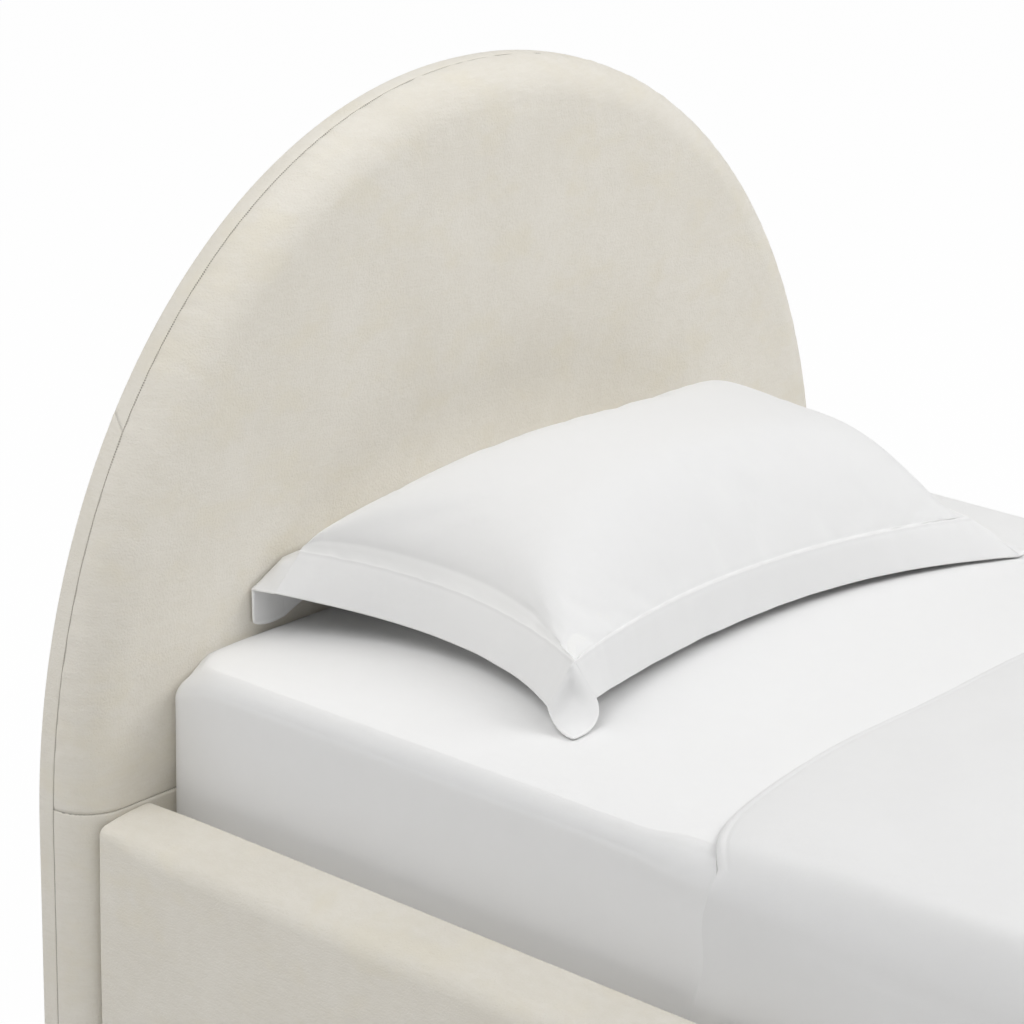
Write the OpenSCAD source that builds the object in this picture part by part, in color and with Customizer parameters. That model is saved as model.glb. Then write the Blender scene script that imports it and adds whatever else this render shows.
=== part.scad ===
// Upholstered platform bed for a single mattress: a tall arched headboard with a bull-nosed front
// edge, padded rails on three sides, flat slats on ledgers and a centre beam, and its bedding.
// Millimetres. +X is the bed's width, +Y runs to the headboard, +Z is up, the floor is at z = 0.

/* [Mattress] */
// Width of the mattress
mattress_w = 965; // [880:5:1060]
// Length of the mattress
mattress_l = 1905; // [1750:5:2050]
// Height of the mattress
mattress_h = 228; // [170:2:290]
// Radius of the mattress's upright corners
mattress_corner_r = 14; // [8:1:60]
// Radius of the mattress's top edge
mattress_edge_r = 26; // [14:1:40]
// Radius of the mattress's bottom edge
mattress_foot_r = 12; // [6:1:20]
// Gap between the mattress and each padded side rail
side_gap = 23.5; // [18:0.5:45]
// Gap between the mattress and the headboard
head_gap = 2; // [1:0.5:30]
// Gap between the mattress and the padded foot rail
foot_gap = 28; // [18:0.5:45]

/* [Bedding] */
// Thickness of the fitted sheet
sheet_t = 1; // [0.6:0.1:2]
// How far the fitted sheet turns under the mattress
sheet_turn_under = 70; // [40:5:140]
// Distance between the pillow sham's side seams
pillow_w = 644; // [480:4:760]
// Distance between the pillow sham's front and back seams
pillow_d = 346; // [280:2:520]
// Height of the pillow's crown above the sheet
pillow_h = 172; // [130:2:210]
// How far each side of the pillow is drawn in at its middle
pillow_draw_in = 37; // [8:1:60]
// Width of the sham's flat flange
flange_w = 50; // [25:1:70]
// Thickness of the sham's two-layer flange
flange_t = 4; // [3:0.5:6]
// Thickness of the sham's cloth with its lining
sham_t = 1.2; // [0.8:0.1:1.6]
// Distance from the headboard to the duvet's head edge
duvet_start = 582; // [450:2:900]
// Thickness of the duvet over the mattress
duvet_loft = 27; // [12:1:45]
// Thickness of the duvet at its hems and in its drops
duvet_edge_t = 9; // [5:1:12]
// How far the duvet hangs below the top of the rails
duvet_tuck = 72; // [30:1:90]

/* [Rails] */
// Thickness of a padded rail
rail_t = 70; // [58:1:110]
// Height of the rails' top above the floor
rail_top = 377; // [330:1:440]
// Height of the rails' underside above the floor
rail_bottom = 50; // [30:1:90]
// Thickness of the rails' boards
rail_board_t = 30; // [22:1:36]
// Foam on the inner side of a rail
inner_foam_t = 10.4; // [6:0.1:16]
// Foam over the top of a rail's board
top_foam_t = 33.4; // [26:0.1:44]
// Slope of the rail's top, down from its inner crest to its outer shoulder
rail_slope = 14; // [4:1:18]
// Radius of a rail's outer top edge
rail_outer_r = 20; // [14:1:32]
// Radius of a rail's inner top edge
rail_inner_r = 9; // [5:1:14]
// Thickness of the velvet with its backing
cover_t = 1.6; // [1:0.1:2.4]

/* [Headboard] */
// Height of the headboard's apex
head_h = 1018; // [850:2:1250]
// How far the headboard stands out past each rail
head_overhang = 16; // [6:1:60]
// Height where the headboard's straight sides end and its arch starts
arch_spring = 350; // [280:2:420]
// Roundness of the arch, where 2 is an ellipse
arch_power = 2.084; // [1.9:0.004:2.6]
// Radius of the bull-nosed front edge, which ends at the seam
edge_r = 45; // [35:1:60]
// Foam in front of the headboard's panel
head_foam_t = 31.4; // [18:0.1:46]
// Thickness of the headboard's wooden frame
frame_t = 20; // [16:1:30]
// Width of a headboard stile
stile_w = 120; // [105:1:160]
// Width of the arch rib
rib_w = 70; // [40:1:100]
// Width of the headboard's cross rails
cross_rail_w = 90; // [70:1:110]
// Height of the seam between the upper and the lower front cover
front_seam_z = 378; // [360:2:450]
// Height of the seam between the side bands and the top band
band_seam_z = 731; // [500:1:850]
// Thickness of the cloth on the headboard's back
back_cloth_t = 1; // [0.6:0.1:2]
// Height of the glides under the headboard
glide_h = 10; // [6:1:20]

/* [Slats and beam] */
// Height of the slats' top above the floor
slat_top = 279; // [255:1:300]
// Number of slats
slat_count = 12; // [8:1:12]
// Width of a slat
slat_w = 70; // [50:1:90]
// Thickness of a slat
slat_t = 20; // [15:1:24]
// Width of a slat ledger
ledger_w = 40; // [30:1:48]
// Height of a slat ledger
ledger_h = 40; // [30:1:48]
// Width of the centre beam
beam_w = 45; // [38:1:60]
// Height of the centre beam
beam_h = 70; // [55:1:90]
// Width of the straps that space the slats
strap_w = 30; // [20:1:50]
// Distance of each strap from the bed's middle
strap_x = 250; // [120:10:400]

/* [Feet and fastenings] */
// Side of a centre leg
leg_w = 45; // [38:1:50]
// Thread diameter of the bolts and of the levelling feet
bolt_d = 8; // [6:1:10]
// Thickness of the steel brackets
bracket_t = 3; // [2:0.5:5]
// Length of a bracket's two plates
bracket_l = 60; // [50:1:80]
// Distance of a bracket's bolts from its corner
bolt_offset = 30; // [24:1:38]
// Height of a bracket at the headboard
head_bracket_h = 120; // [90:1:130]
// Height of a bracket at the foot
foot_bracket_h = 36; // [30:1:40]
// Side of a corner block
block_w = 70; // [60:1:90]
// Height of a corner block
block_h = 110; // [60:1:115]
// Diameter of a foot under the foot rail
foot_d = 55; // [40:1:60]
// Diameter of a levelling foot's base
level_base_d = 40; // [30:1:45]

/* [Hidden] */
$fn = 48;

velvet = [0.88, 0.86, 0.81];
linen = [0.96, 0.96, 0.97];
foam_colour = [0.93, 0.87, 0.62];
timber = [0.80, 0.66, 0.46];
ply = [0.72, 0.56, 0.36];
steel = [0.30, 0.31, 0.33];
zinc = [0.75, 0.76, 0.78];
plastic = [0.12, 0.12, 0.13];
cloth_black = [0.20, 0.20, 0.21];

// Clearances
// Air between a moving soft piece and what it lies on
rest_gap = 0.4;
// Room between the sheet and the mattress inside it
sheet_fit = 0.2;
// Room between a slat's end and the board beside it
slat_end_gap = 3;
// Room between the padding's lower edge and the slats
pad_gap = 4;
// Room between a bolt and its plain hole
bolt_gap = 0.5;
// Room between a levelling foot's stem and its insert, on the radius
thread_gap = 0.06;
// Air between the duvet and the sheet on the mattress's sides
duvet_gap = 0.8;
// How far a cutting shape runs past the face that it cuts
over = 1;

// Places across the bed
rail_inner = mattress_w / 2 + side_gap;
rail_outer = rail_inner + rail_t;
head_half = rail_outer + head_overhang;
board_in = cover_t + inner_foam_t;
board_out = board_in + rail_board_t;
board_x = rail_inner + board_in;

// Places along the bed
head_t = edge_r + frame_t + back_cloth_t;
total_l = head_t + head_gap + mattress_l + foot_gap + rail_t;
head_back = total_l / 2;
head_face = head_back - head_t;
foot_face = -total_l / 2;
foot_inner = foot_face + rail_t;
foot_board_y = foot_inner - board_in;
mattress_head = head_face - head_gap;
mattress_foot = mattress_head - mattress_l;

// Places up the bed
board_bottom = rail_bottom + cover_t;
board_top = rail_top - cover_t - top_foam_t;
pad_bottom = slat_top + pad_gap;
ledger_top = slat_top - slat_t;
ledger_bottom = ledger_top - ledger_h;
beam_bottom = ledger_top - beam_h;
mattress_bottom = slat_top + sheet_fit + sheet_t;
mattress_top = mattress_bottom + mattress_h;
sheet_top = mattress_top + sheet_fit + sheet_t;

// How far the headboard's panel and its frame are drawn in from its outline
panel_edge_gap = 14;
frame_air = 0.6;
frame_edge_gap = cover_t + frame_air;

// Depths in the headboard, counted back from its front face
panel_front = cover_t + head_foam_t;
panel_back = edge_r;
frame_back = edge_r + frame_t;

function flipped(list) = [for (k = [len(list) - 1:-1:0]) list[k]];
function flat(lists) = [for (list = lists) for (item = list) item];

// Joins rings of points into a closed solid; each ring runs anticlockwise seen from the last one
module loft(rings) {
    n = len(rings[0]);
    last = len(rings) - 1;
    polyhedron(
        points = flat(rings),
        faces = concat(
            [[for (j = [0:n - 1]) j]],
            [for (i = [0:last - 1]) for (j = [0:n - 1]) let (k = (j + 1) % n)
                [i * n + j, (i + 1) * n + j, (i + 1) * n + k]],
            [for (i = [0:last - 1]) for (j = [0:n - 1]) let (k = (j + 1) % n)
                [i * n + j, (i + 1) * n + k, i * n + k]],
            [[for (j = [n - 1:-1:0]) last * n + j]]
        ),
        convexity = 6
    );
}

// Joins two skins of open rings into a shell; the last ring is symmetric about x = 0 and is closed
// across it. Rings run anticlockwise seen from outside the last one.
module open_shell(outer, inner) {
    n = len(outer[0]);
    last = len(outer) - 1;
    base = n * (last + 1);
    middle = (n - 1) / 2;
    cells = [for (i = [0:last - 1]) for (j = [0:n - 2]) i * n + j];
    left = [for (j = [0:middle - 1]) last * n + j];
    polyhedron(
        points = concat(flat(outer), flat(inner)),
        faces = concat(
            [for (a = cells) [a, a + n, a + n + 1]],
            [for (a = cells) [a, a + n + 1, a + 1]],
            [for (a = cells) [base + a, base + a + 1, base + a + n + 1]],
            [for (a = cells) [base + a, base + a + n + 1, base + a + n]],
            [for (j = [0:n - 2]) [j, j + 1, base + j + 1]],
            [for (j = [0:n - 2]) [j, base + j + 1, base + j]],
            [for (i = [0:last - 1]) let (a = i * n) [a, base + a, base + a + n]],
            [for (i = [0:last - 1]) let (a = i * n) [a, base + a + n, a + n]],
            [for (i = [1:last]) let (b = i * n - 1) [b, base + b + n, base + b]],
            [for (i = [1:last]) let (b = i * n - 1) [b, b + n, base + b + n]],
            [for (a = left) let (b = (2 * last + 1) * n - 1 - a) [a, b, b - 1]],
            [for (a = left) let (b = (2 * last + 1) * n - 1 - a) if (b - 1 > a + 1) [a, b - 1, a + 1]],
            [for (a = left) let (b = (2 * last + 1) * n - 1 - a) [base + a, base + b - 1, base + b]],
            [for (a = left) let (b = (2 * last + 1) * n - 1 - a) if (b - 1 > a + 1)
                [base + a, base + a + 1, base + b - 1]],
            [[last * n, base + last * n, base + last * n + n - 1]],
            [[last * n, base + last * n + n - 1, last * n + n - 1]]
        ),
        convexity = 6
    );
}

// Headboard outline: an arch of superellipse form over straight sides
arch_steps = 48;
function arch_rise(inset) = head_h - inset - arch_spring;
function arch_point(angle, inset) = [
    (head_half - inset) * sign(cos(angle)) * pow(abs(cos(angle)), 2 / arch_power),
    arch_spring + arch_rise(inset) * pow(abs(sin(angle)), 2 / arch_power)
];
function arch_arc(from, to, inset, steps) =
    [for (i = [0:steps]) arch_point(from + (to - from) * i / steps, inset)];
function arch_angle(z, inset) =
    asin(pow(max(0, z - arch_spring) / arch_rise(inset), arch_power / 2));
function arch_half(z, inset) =
    z <= arch_spring ? head_half - inset : arch_point(arch_angle(z, inset), inset)[0];
function arch_height(x, inset) =
    arch_spring + arch_rise(inset) * pow(1 - pow(abs(x) / (head_half - inset), arch_power), 1 / arch_power);
// Heights at which the lower front has its points; the upper front starts at the last
lower_cover_levels = [glide_h, arch_spring, (arch_spring + front_seam_z) / 2, front_seam_z];
function head_outline(z_low, inset) =
    let (
        start = arch_angle(front_seam_z, inset),
        low = concat([z_low], [for (z = lower_cover_levels) if (z > z_low && z < front_seam_z) z]),
        side = [for (z = low) [arch_half(z, inset), z]],
        arc = arch_arc(start, 180 - start, inset, arch_steps)
    )
    z_low < front_seam_z ? concat(side, arc, flipped([for (p = side) [-p[0], p[1]]])) : arc;

// A flat slab of the headboard between two depths, from an outline in x and z
module head_slab(front, back)
    translate([0, head_face + back, 0])
        rotate([90, 0, 0])
            linear_extrude(back - front)
                children();

// The bull nose: how far a skin of it is drawn in and set back at each angle
nose_steps = 6;
function nose_inset(angle, skin) = edge_r - (edge_r - skin) * cos(angle);
function nose_depth(angle, skin) = edge_r - (edge_r - skin) * sin(angle);
function nose_rings(z_low, skin) = [
    for (i = [0:nose_steps]) let (angle = 90 * i / nose_steps)
        [for (p = head_outline(z_low, nose_inset(angle, skin)))
            [p[0], head_face + nose_depth(angle, skin), p[1]]]
];

// The lower front in plan at a height, from its left edge to its right edge
function cover_plan(z, skin) =
    let (side = [
        for (i = [0:nose_steps]) let (angle = 90 * i / nose_steps)
            [arch_half(z, nose_inset(angle, skin)), head_face + nose_depth(angle, skin), z]
    ])
    concat([for (p = side) [-p[0], p[1], p[2]]], flipped(side));
function cover_grid(skin) = [for (z = lower_cover_levels) cover_plan(z, skin)];

module headboard_panel()
    color(ply)
        difference() {
            head_slab(panel_front, panel_back)
                polygon(head_outline(glide_h + panel_edge_gap, panel_edge_gap));
            head_bolt_holes(bolt_d / 2 + bolt_gap);
            head_hanger_screw_holes();
        }

module stile(side)
    difference() {
        translate([side > 0 ? stile_in : -stile_in - stile_w, head_face + edge_r, glide_h])
            cube([stile_w, frame_t, arch_spring - glide_h]);
        head_bolt_holes(insert_r);
        translate([side * glide_x, glide_y, glide_h - over])
            cylinder(h = glide_pin_l + over, r = glide_pin_r);
    }

module headboard_left_stile() color(timber) stile(-1);

module headboard_right_stile() color(timber) stile(1);

module cross_rail(z)
    translate([-stile_in, head_face + edge_r, z])
        cube([2 * stile_in, frame_t, cross_rail_w]);

stile_in = head_half - frame_edge_gap - stile_w;
lower_rail_rise = 40;
middle_rail_drop = 10;
lower_rail_z = glide_h + lower_rail_rise;
middle_rail_z = beam_bottom - middle_rail_drop;

module headboard_lower_rail() color(timber) cross_rail(lower_rail_z);

module headboard_middle_rail()
    color(timber)
        difference() {
            cross_rail(middle_rail_z);
            head_hanger_screw_holes();
        }

module headboard_arch_rib()
    color(ply)
        head_slab(panel_back, frame_back)
            polygon(concat(
                arch_arc(0, 180, frame_edge_gap, arch_steps),
                flipped(arch_arc(0, 180, frame_edge_gap + rib_w, arch_steps))
            ));

upright_w = 70;

module headboard_upright()
    color(timber)
        translate([-upright_w / 2, head_face + edge_r, middle_rail_z + cross_rail_w])
            cube([
                upright_w,
                frame_t,
                arch_height(upright_w / 2, frame_edge_gap + rib_w) - middle_rail_z - cross_rail_w
            ]);

// Hard blocks in the foam, where the rails' brackets and the beam's hanger are fastened
block_margin = 5;
side_block_w = 80;
beam_block_w = 110;
module hard_block(x, z, width, height)
    translate([x - width / 2, head_face + cover_t, z - block_margin])
        cube([width, head_foam_t, height + 2 * block_margin]);

module block_shapes() {
    for (side = [-1, 1])
        hard_block(side * bolt_x, head_bracket_z, side_block_w, head_bracket_h);
    hard_block(0, beam_bottom, beam_block_w, beam_h);
}

module headboard_mounting_blocks()
    color(timber)
        difference() {
            block_shapes();
            head_bolt_holes(bolt_d / 2 + bolt_gap);
            head_hanger_screw_holes();
        }

module headboard_foam()
    color(foam_colour)
        difference() {
            loft(nose_rings(glide_h, cover_t));
            head_slab(panel_front, panel_back + over)
                polygon(head_outline(glide_h + panel_edge_gap, panel_edge_gap));
            block_shapes();
        }

module headboard_upper_cover()
    color(velvet)
        open_shell(nose_rings(front_seam_z, 0), nose_rings(front_seam_z, cover_t));

module headboard_lower_cover()
    color(velvet)
        difference() {
            grid_solid(cover_grid(0), cover_grid(cover_t));
            head_bolt_holes(bolt_d / 2 + bolt_gap);
            head_hanger_screw_holes();
        }

// A side band between the front seam and the back edge, over part of the arch
band_steps = 16;
module band(side) {
    seam = arch_angle(band_seam_z, 0);
    head_slab(edge_r, head_t)
        polygon([for (p = concat(
            [[head_half, glide_h]],
            arch_arc(0, seam, 0, band_steps),
            flipped(arch_arc(0, seam, cover_t, band_steps)),
            [[head_half - cover_t, glide_h]]
        )) [side * p[0], p[1]]]);
}

module headboard_left_band() color(velvet) band(-1);

module headboard_right_band() color(velvet) band(1);

module headboard_top_band()
    color(velvet) {
        seam = arch_angle(band_seam_z, 0);
        head_slab(edge_r, head_t)
            polygon(concat(
                arch_arc(seam, 180 - seam, 0, 2 * band_steps),
                flipped(arch_arc(seam, 180 - seam, cover_t, 2 * band_steps))
            ));
    }

module headboard_back_cloth()
    color(cloth_black)
        head_slab(frame_back, head_t)
            polygon(head_outline(glide_h, frame_edge_gap));

glide_r = 14;
glide_pin_r = 2.5;
glide_pin_l = 25;
glide_inset = 60;
glide_x = head_half - glide_inset;
glide_y = head_face + edge_r + frame_t / 2;

module headboard_glides()
    color(plastic)
        for (side = [-1, 1])
            translate([side * glide_x, glide_y, 0]) {
                cylinder(h = glide_h, r = glide_r);
                cylinder(h = glide_h + glide_pin_l, r = glide_pin_r);
            }

// The top of a rail's section: the shoulder's arc, and the crest's arc, which a straight slope joins.
// u counts outward from the rail's padded inner face; skin draws the outline in.
rail_arc_steps = 6;
function rail_top_line(skin) =
    let (
        crest = rail_top - rail_inner_r,
        sharper = rail_outer_r - rail_inner_r,
        slope_w = rail_t - rail_outer_r - rail_inner_r + sharper * sin(rail_slope),
        shoulder = crest - sharper * cos(rail_slope) - slope_w * tan(rail_slope),
        turn = 90 - rail_slope
    )
    concat(
        [for (i = [0:rail_arc_steps]) let (a = turn * i / rail_arc_steps)
            [rail_t - rail_outer_r + (rail_outer_r - skin) * cos(a),
             shoulder + (rail_outer_r - skin) * sin(a)]],
        [for (i = [0:rail_arc_steps]) let (a = turn + (180 - turn) * i / rail_arc_steps)
            [rail_inner_r + (rail_inner_r - skin) * cos(a),
             crest + (rail_inner_r - skin) * sin(a)]]
    );
// Height of the slope at a place across the rail
function rail_slope_z(u, skin) =
    rail_top - rail_inner_r + (rail_inner_r - skin + (rail_inner_r - u) * sin(rail_slope)) / cos(rail_slope);
// How far the cover is turned under the board
cover_turn = 8;
cover_lap = board_out - cover_turn;
function rail_outer_line(skin) =
    concat([[rail_t - skin, rail_bottom + skin]], rail_top_line(skin), [[skin, pad_bottom]]);
function rail_foam_section() = concat(
    rail_outer_line(cover_t),
    [[board_in, pad_bottom], [board_in, board_top], [board_out, board_top], [board_out, board_bottom]]
);
function rail_cover_section() = concat(
    [[cover_lap, rail_bottom]],
    rail_outer_line(0),
    flipped(rail_outer_line(cover_t)),
    [[cover_lap, board_bottom]]
);

module rail_board(side)
    difference() {
        translate([side > 0 ? board_x : -board_x - rail_board_t, foot_board_y, board_bottom])
            cube([rail_board_t, head_face - foot_board_y, board_top - board_bottom]);
        side_bolt_places(side)
            cylinder(h = insert_l, r = insert_r);
        ledger_screw_places(side)
            cylinder(h = screw_l, r = screw_r);
    }

module left_rail_board() color(ply) rail_board(-1);

module right_rail_board() color(ply) rail_board(1);

module mirrored(side)
    mirror([side > 0 ? 0 : 1, 0, 0])
        children();

// A side rail's section in u and z, run along the bed from the foot rail's board to the headboard
module rail_run(side)
    mirrored(side)
        translate([rail_inner, head_face, 0])
            rotate([90, 0, 0])
                linear_extrude(head_face - foot_board_y)
                    children();

module left_rail_foam() color(foam_colour) rail_run(-1) polygon(rail_foam_section());

module right_rail_foam() color(foam_colour) rail_run(1) polygon(rail_foam_section());

module left_rail_cover() color(velvet) rail_run(-1) polygon(rail_cover_section());

module right_rail_cover() color(velvet) rail_run(1) polygon(rail_cover_section());

// The foot rail: the same section run across the bed, its ends shaped like the side rails' outer
// sides, its outer corners rounded in plan
foot_corner_r = 28;
foot_end_foam_t = rail_t - board_out - cover_t;

module across_foot(half)
    translate([-half, foot_inner, 0])
        rotate([90, 0, 90])
            linear_extrude(2 * half)
                mirror([1, 0])
                    children();

module foot_skin(skin) {
    intersection() {
        across_foot(rail_outer)
            polygon(concat(
                [[board_in, rail_bottom + skin], [rail_t - skin, rail_bottom + skin]],
                [for (p = rail_top_line(skin)) if (p[0] > board_in) p],
                [[board_in, rail_slope_z(board_in, skin)]]
            ));
        translate([0, foot_inner, 0])
            rotate([90, 0, 0])
                linear_extrude(rail_t)
                    polygon(concat(
                        [for (p = concat([[rail_t - skin, rail_bottom]], rail_top_line(skin)))
                            if (p[0] >= rail_inner_r) [rail_inner + p[0], p[1]]],
                        flipped([for (p = concat([[rail_t - skin, rail_bottom]], rail_top_line(skin)))
                            if (p[0] >= rail_inner_r) [-rail_inner - p[0], p[1]]])
                    ));
        linear_extrude(rail_top + over)
            polygon(foot_plan(skin));
    }
    intersection() {
        across_foot(rail_inner)
            polygon(concat(
                [[skin, pad_bottom], [board_in, pad_bottom], [board_in, rail_slope_z(board_in, skin)]],
                [for (p = rail_top_line(skin)) if (p[0] <= board_in) p]
            ));
    }
}
function foot_plan(skin) =
    let (r = foot_corner_r - skin, x = rail_outer - foot_corner_r, y = foot_face + foot_corner_r)
    concat(
        [[rail_outer - skin, foot_inner], [skin - rail_outer, foot_inner]],
        [for (i = [0:8]) let (a = 180 + 90 * i / 8) [-x + r * cos(a), y + r * sin(a)]],
        [for (i = [0:8]) let (a = 270 + 90 * i / 8) [x + r * cos(a), y + r * sin(a)]]
    );

module foot_board_shape()
    translate([foot_end_foam_t + cover_t - rail_outer, foot_board_y - rail_board_t, board_bottom])
        cube([2 * (rail_outer - foot_end_foam_t - cover_t), rail_board_t, board_top - board_bottom]);

module foot_rail_board()
    color(ply)
        difference() {
            foot_board_shape();
            foot_bolt_places()
                cylinder(h = insert_l, r = insert_r);
            foot_hanger_screw_places()
                cylinder(h = screw_l, r = screw_r);
        }

module foot_rail_foam()
    color(foam_colour)
        difference() {
            foot_skin(cover_t);
            foot_board_shape();
        }

module foot_rail_cover()
    color(velvet)
        difference() {
            foot_skin(0);
            foot_skin(cover_t);
            translate([-rail_inner - cover_lap, foot_inner - cover_lap, rail_bottom - over])
                cube([2 * (rail_inner + cover_lap), cover_lap, cover_t + 2 * over]);
        }

// Slats, ledgers, straps
slat_half = board_x - slat_end_gap;
slat_head_inset = 45;
slat_foot_inset = 55;
slat_first = head_face - slat_head_inset;
slat_last = foot_board_y + slat_foot_inset;
slat_pitch = (slat_first - slat_last) / (slat_count - 1);
function slat_y(k) = slat_first - slat_pitch * k;

module slat(k)
    if (k < slat_count)
        color(timber)
            difference() {
                translate([-slat_half, slat_y(k) - slat_w / 2, ledger_top])
                    cube([2 * slat_half, slat_w, slat_t]);
                for (side = [-1, 1])
                    translate([side * (board_x - ledger_w / 2), slat_y(k), ledger_top - over])
                        cylinder(h = slat_t + 2 * over, r = screw_r);
            }

module slat_ledger(side)
    difference() {
        translate([side > 0 ? board_x - ledger_w : -board_x, foot_board_y, ledger_bottom])
            cube([ledger_w, head_face - foot_board_y, ledger_h]);
        ledger_screw_places(side)
            cylinder(h = screw_l, r = screw_r);
        for (k = [0:slat_count - 1])
            translate([side * (board_x - ledger_w / 2), slat_y(k), slat_top - slat_screw_l])
                cylinder(h = slat_screw_l, r = screw_r);
    }

module left_slat_ledger() color(timber) slat_ledger(-1);

module right_slat_ledger() color(timber) slat_ledger(1);

strap_t = 1.2;

module slat_straps()
    color(linen)
        for (side = [-1, 1])
            translate([side * strap_x - strap_w / 2, slat_last - slat_w / 2, ledger_top - strap_t])
                cube([strap_w, slat_first - slat_last + slat_w, strap_t]);

// Centre beam in two steel hangers, on three legs with levelling feet
hanger_seat = 40;
beam_gap = 1;

module centre_beam()
    color(timber)
        difference() {
            translate([-beam_w / 2, foot_board_y + bracket_t + beam_gap, beam_bottom])
                cube([beam_w, head_face - foot_board_y - 2 * (bracket_t + beam_gap), beam_h]);
            for (y = leg_y)
                translate([0, y, beam_bottom - over])
                    cylinder(h = leg_bolt_l / 2 + over, r = bolt_d / 2);
        }

// A hanger as seen from the wall it is fixed on: its plate's back lies at y = 0, its seat runs to -y
hanger_plate_w = 95;
// Share of the beam's height that the hanger's cheeks hold
hanger_cheek_share = 0.7;
module hanger()
    difference() {
        union() {
            translate([-hanger_plate_w / 2, -bracket_t, beam_bottom - bracket_t])
                cube([hanger_plate_w, bracket_t, beam_h]);
            translate([-beam_w / 2 - bracket_t, -hanger_seat, beam_bottom - bracket_t])
                cube([beam_w + 2 * bracket_t, hanger_seat, bracket_t]);
            for (side = [-1, 1])
                translate([
                    side * (beam_w + bracket_t) / 2 - bracket_t / 2,
                    -hanger_seat,
                    beam_bottom - bracket_t
                ])
                    cube([bracket_t, hanger_seat, beam_h * hanger_cheek_share]);
        }
        hanger_screw_points()
            translate([0, 0, -bracket_t - over])
                cylinder(h = bracket_t + 2 * over, r = screw_r);
    }
hanger_screw_x = 39;
hanger_screw_low = 12;
hanger_screw_high = 18;
module hanger_screw_points()
    for (side = [-1, 1], z = [beam_bottom + hanger_screw_low, beam_bottom + beam_h - hanger_screw_high])
        translate([side * hanger_screw_x, 0, z])
            rotate([-90, 0, 0])
                children();

module beam_hangers()
    color(steel) {
        translate([0, head_face, 0]) hanger();
        translate([0, foot_board_y, 0]) rotate([0, 0, 180]) hanger();
    }

leg_inset = 330;
leg_y = [head_face - leg_inset, (head_face + foot_board_y) / 2, foot_board_y + leg_inset];
leg_bottom = 16;
leg_bolt_l = 60;
level_base_h = 6;
level_nut_h = leg_bottom - level_base_h - rest_gap;
level_stem_l = 40;
level_insert_l = 15;
// Free depth of the hole above a levelling foot's stem
stem_room = 8;

module centre_leg(y)
    color(timber)
        difference() {
            translate([-leg_w / 2, y - leg_w / 2, leg_bottom])
                cube([leg_w, leg_w, beam_bottom - leg_bottom]);
            translate([0, y, leg_bottom - over])
                cylinder(h = level_stem_l + stem_room, r = bolt_d / 2 + bolt_gap);
            translate([0, y, leg_bottom - over])
                cylinder(h = level_insert_l + over, r = insert_r);
            translate([0, y, beam_bottom - leg_bolt_l / 2])
                cylinder(h = leg_bolt_l / 2 + over, r = bolt_d / 2);
        }

module centre_leg_head() centre_leg(leg_y[0]);

module centre_leg_middle() centre_leg(leg_y[1]);

module centre_leg_foot() centre_leg(leg_y[2]);

module levelling_foot(y)
    color(plastic)
        translate([0, y, 0]) {
            cylinder(h = level_base_h, d = level_base_d);
            cylinder(h = level_base_h + level_nut_h, r = bolt_d, $fn = 6);
            cylinder(h = leg_bottom + level_stem_l, r = bolt_d / 2 - thread_gap);
        }

module levelling_foot_head() levelling_foot(leg_y[0]);

module levelling_foot_middle() levelling_foot(leg_y[1]);

module levelling_foot_foot() levelling_foot(leg_y[2]);

// Fastenings
insert_wall = 2;
insert_r = bolt_d / 2 + insert_wall;
insert_l = 15;
// A bolt head's radius as a share of the thread's diameter
bolt_head_share = 0.8;
head_r = bolt_d * bolt_head_share;
head_l = 4.5;
screw_r = 2.5;
screw_head_r = 4.5;
screw_head_l = 3;
screw_l = 60;
slat_screw_l = 42;
bolt_x = board_x - bolt_offset;
head_bracket_rise = 38;
foot_bracket_drop = 2;
head_bolt_end = 25;
head_bracket_z = board_bottom + head_bracket_rise;
foot_bracket_z = ledger_bottom - foot_bracket_h - foot_bracket_drop;
head_bolt_z = [head_bracket_z + head_bolt_end, head_bracket_z + head_bracket_h - head_bolt_end];

// Bolt places point into the piece that holds the thread, from its surface
module head_bolt_holes(r)
    for (side = [-1, 1], z = head_bolt_z)
        translate([side * bolt_x, head_face - over, z])
            rotate([-90, 0, 0])
                cylinder(h = head_t + 2 * over, r = r);

module side_bolt_places(side)
    for (place = concat(
        [for (z = head_bolt_z) [head_face - bolt_offset, z]],
        [[foot_board_y + bolt_offset, foot_bracket_z + foot_bracket_h / 2]]
    ))
        translate([side * board_x, place[0], place[1]])
            rotate([0, side * 90, 0])
                children();

module foot_bolt_places()
    for (side = [-1, 1])
        translate([side * bolt_x, foot_board_y, foot_bracket_z + foot_bracket_h / 2])
            rotate([90, 0, 0])
                children();

ledger_screw_count = 6;
ledger_screw_pitch = (slat_first - slat_last - slat_pitch) / (ledger_screw_count - 1);
module ledger_screw_places(side)
    for (k = [0:ledger_screw_count - 1])
        translate([
            side * (board_x - ledger_w),
            slat_first - slat_pitch / 2 - ledger_screw_pitch * k,
            ledger_bottom + ledger_h / 2
        ])
            rotate([0, side * 90, 0])
                children();

module head_hanger_screw_places()
    translate([0, head_face - bracket_t, 0])
        hanger_screw_points()
            children();

module head_hanger_screw_holes()
    head_hanger_screw_places()
        cylinder(h = screw_l, r = screw_r);

module foot_hanger_screw_places()
    translate([0, foot_board_y + bracket_t, 0])
        rotate([0, 0, 180])
            hanger_screw_points()
                children();

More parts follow.
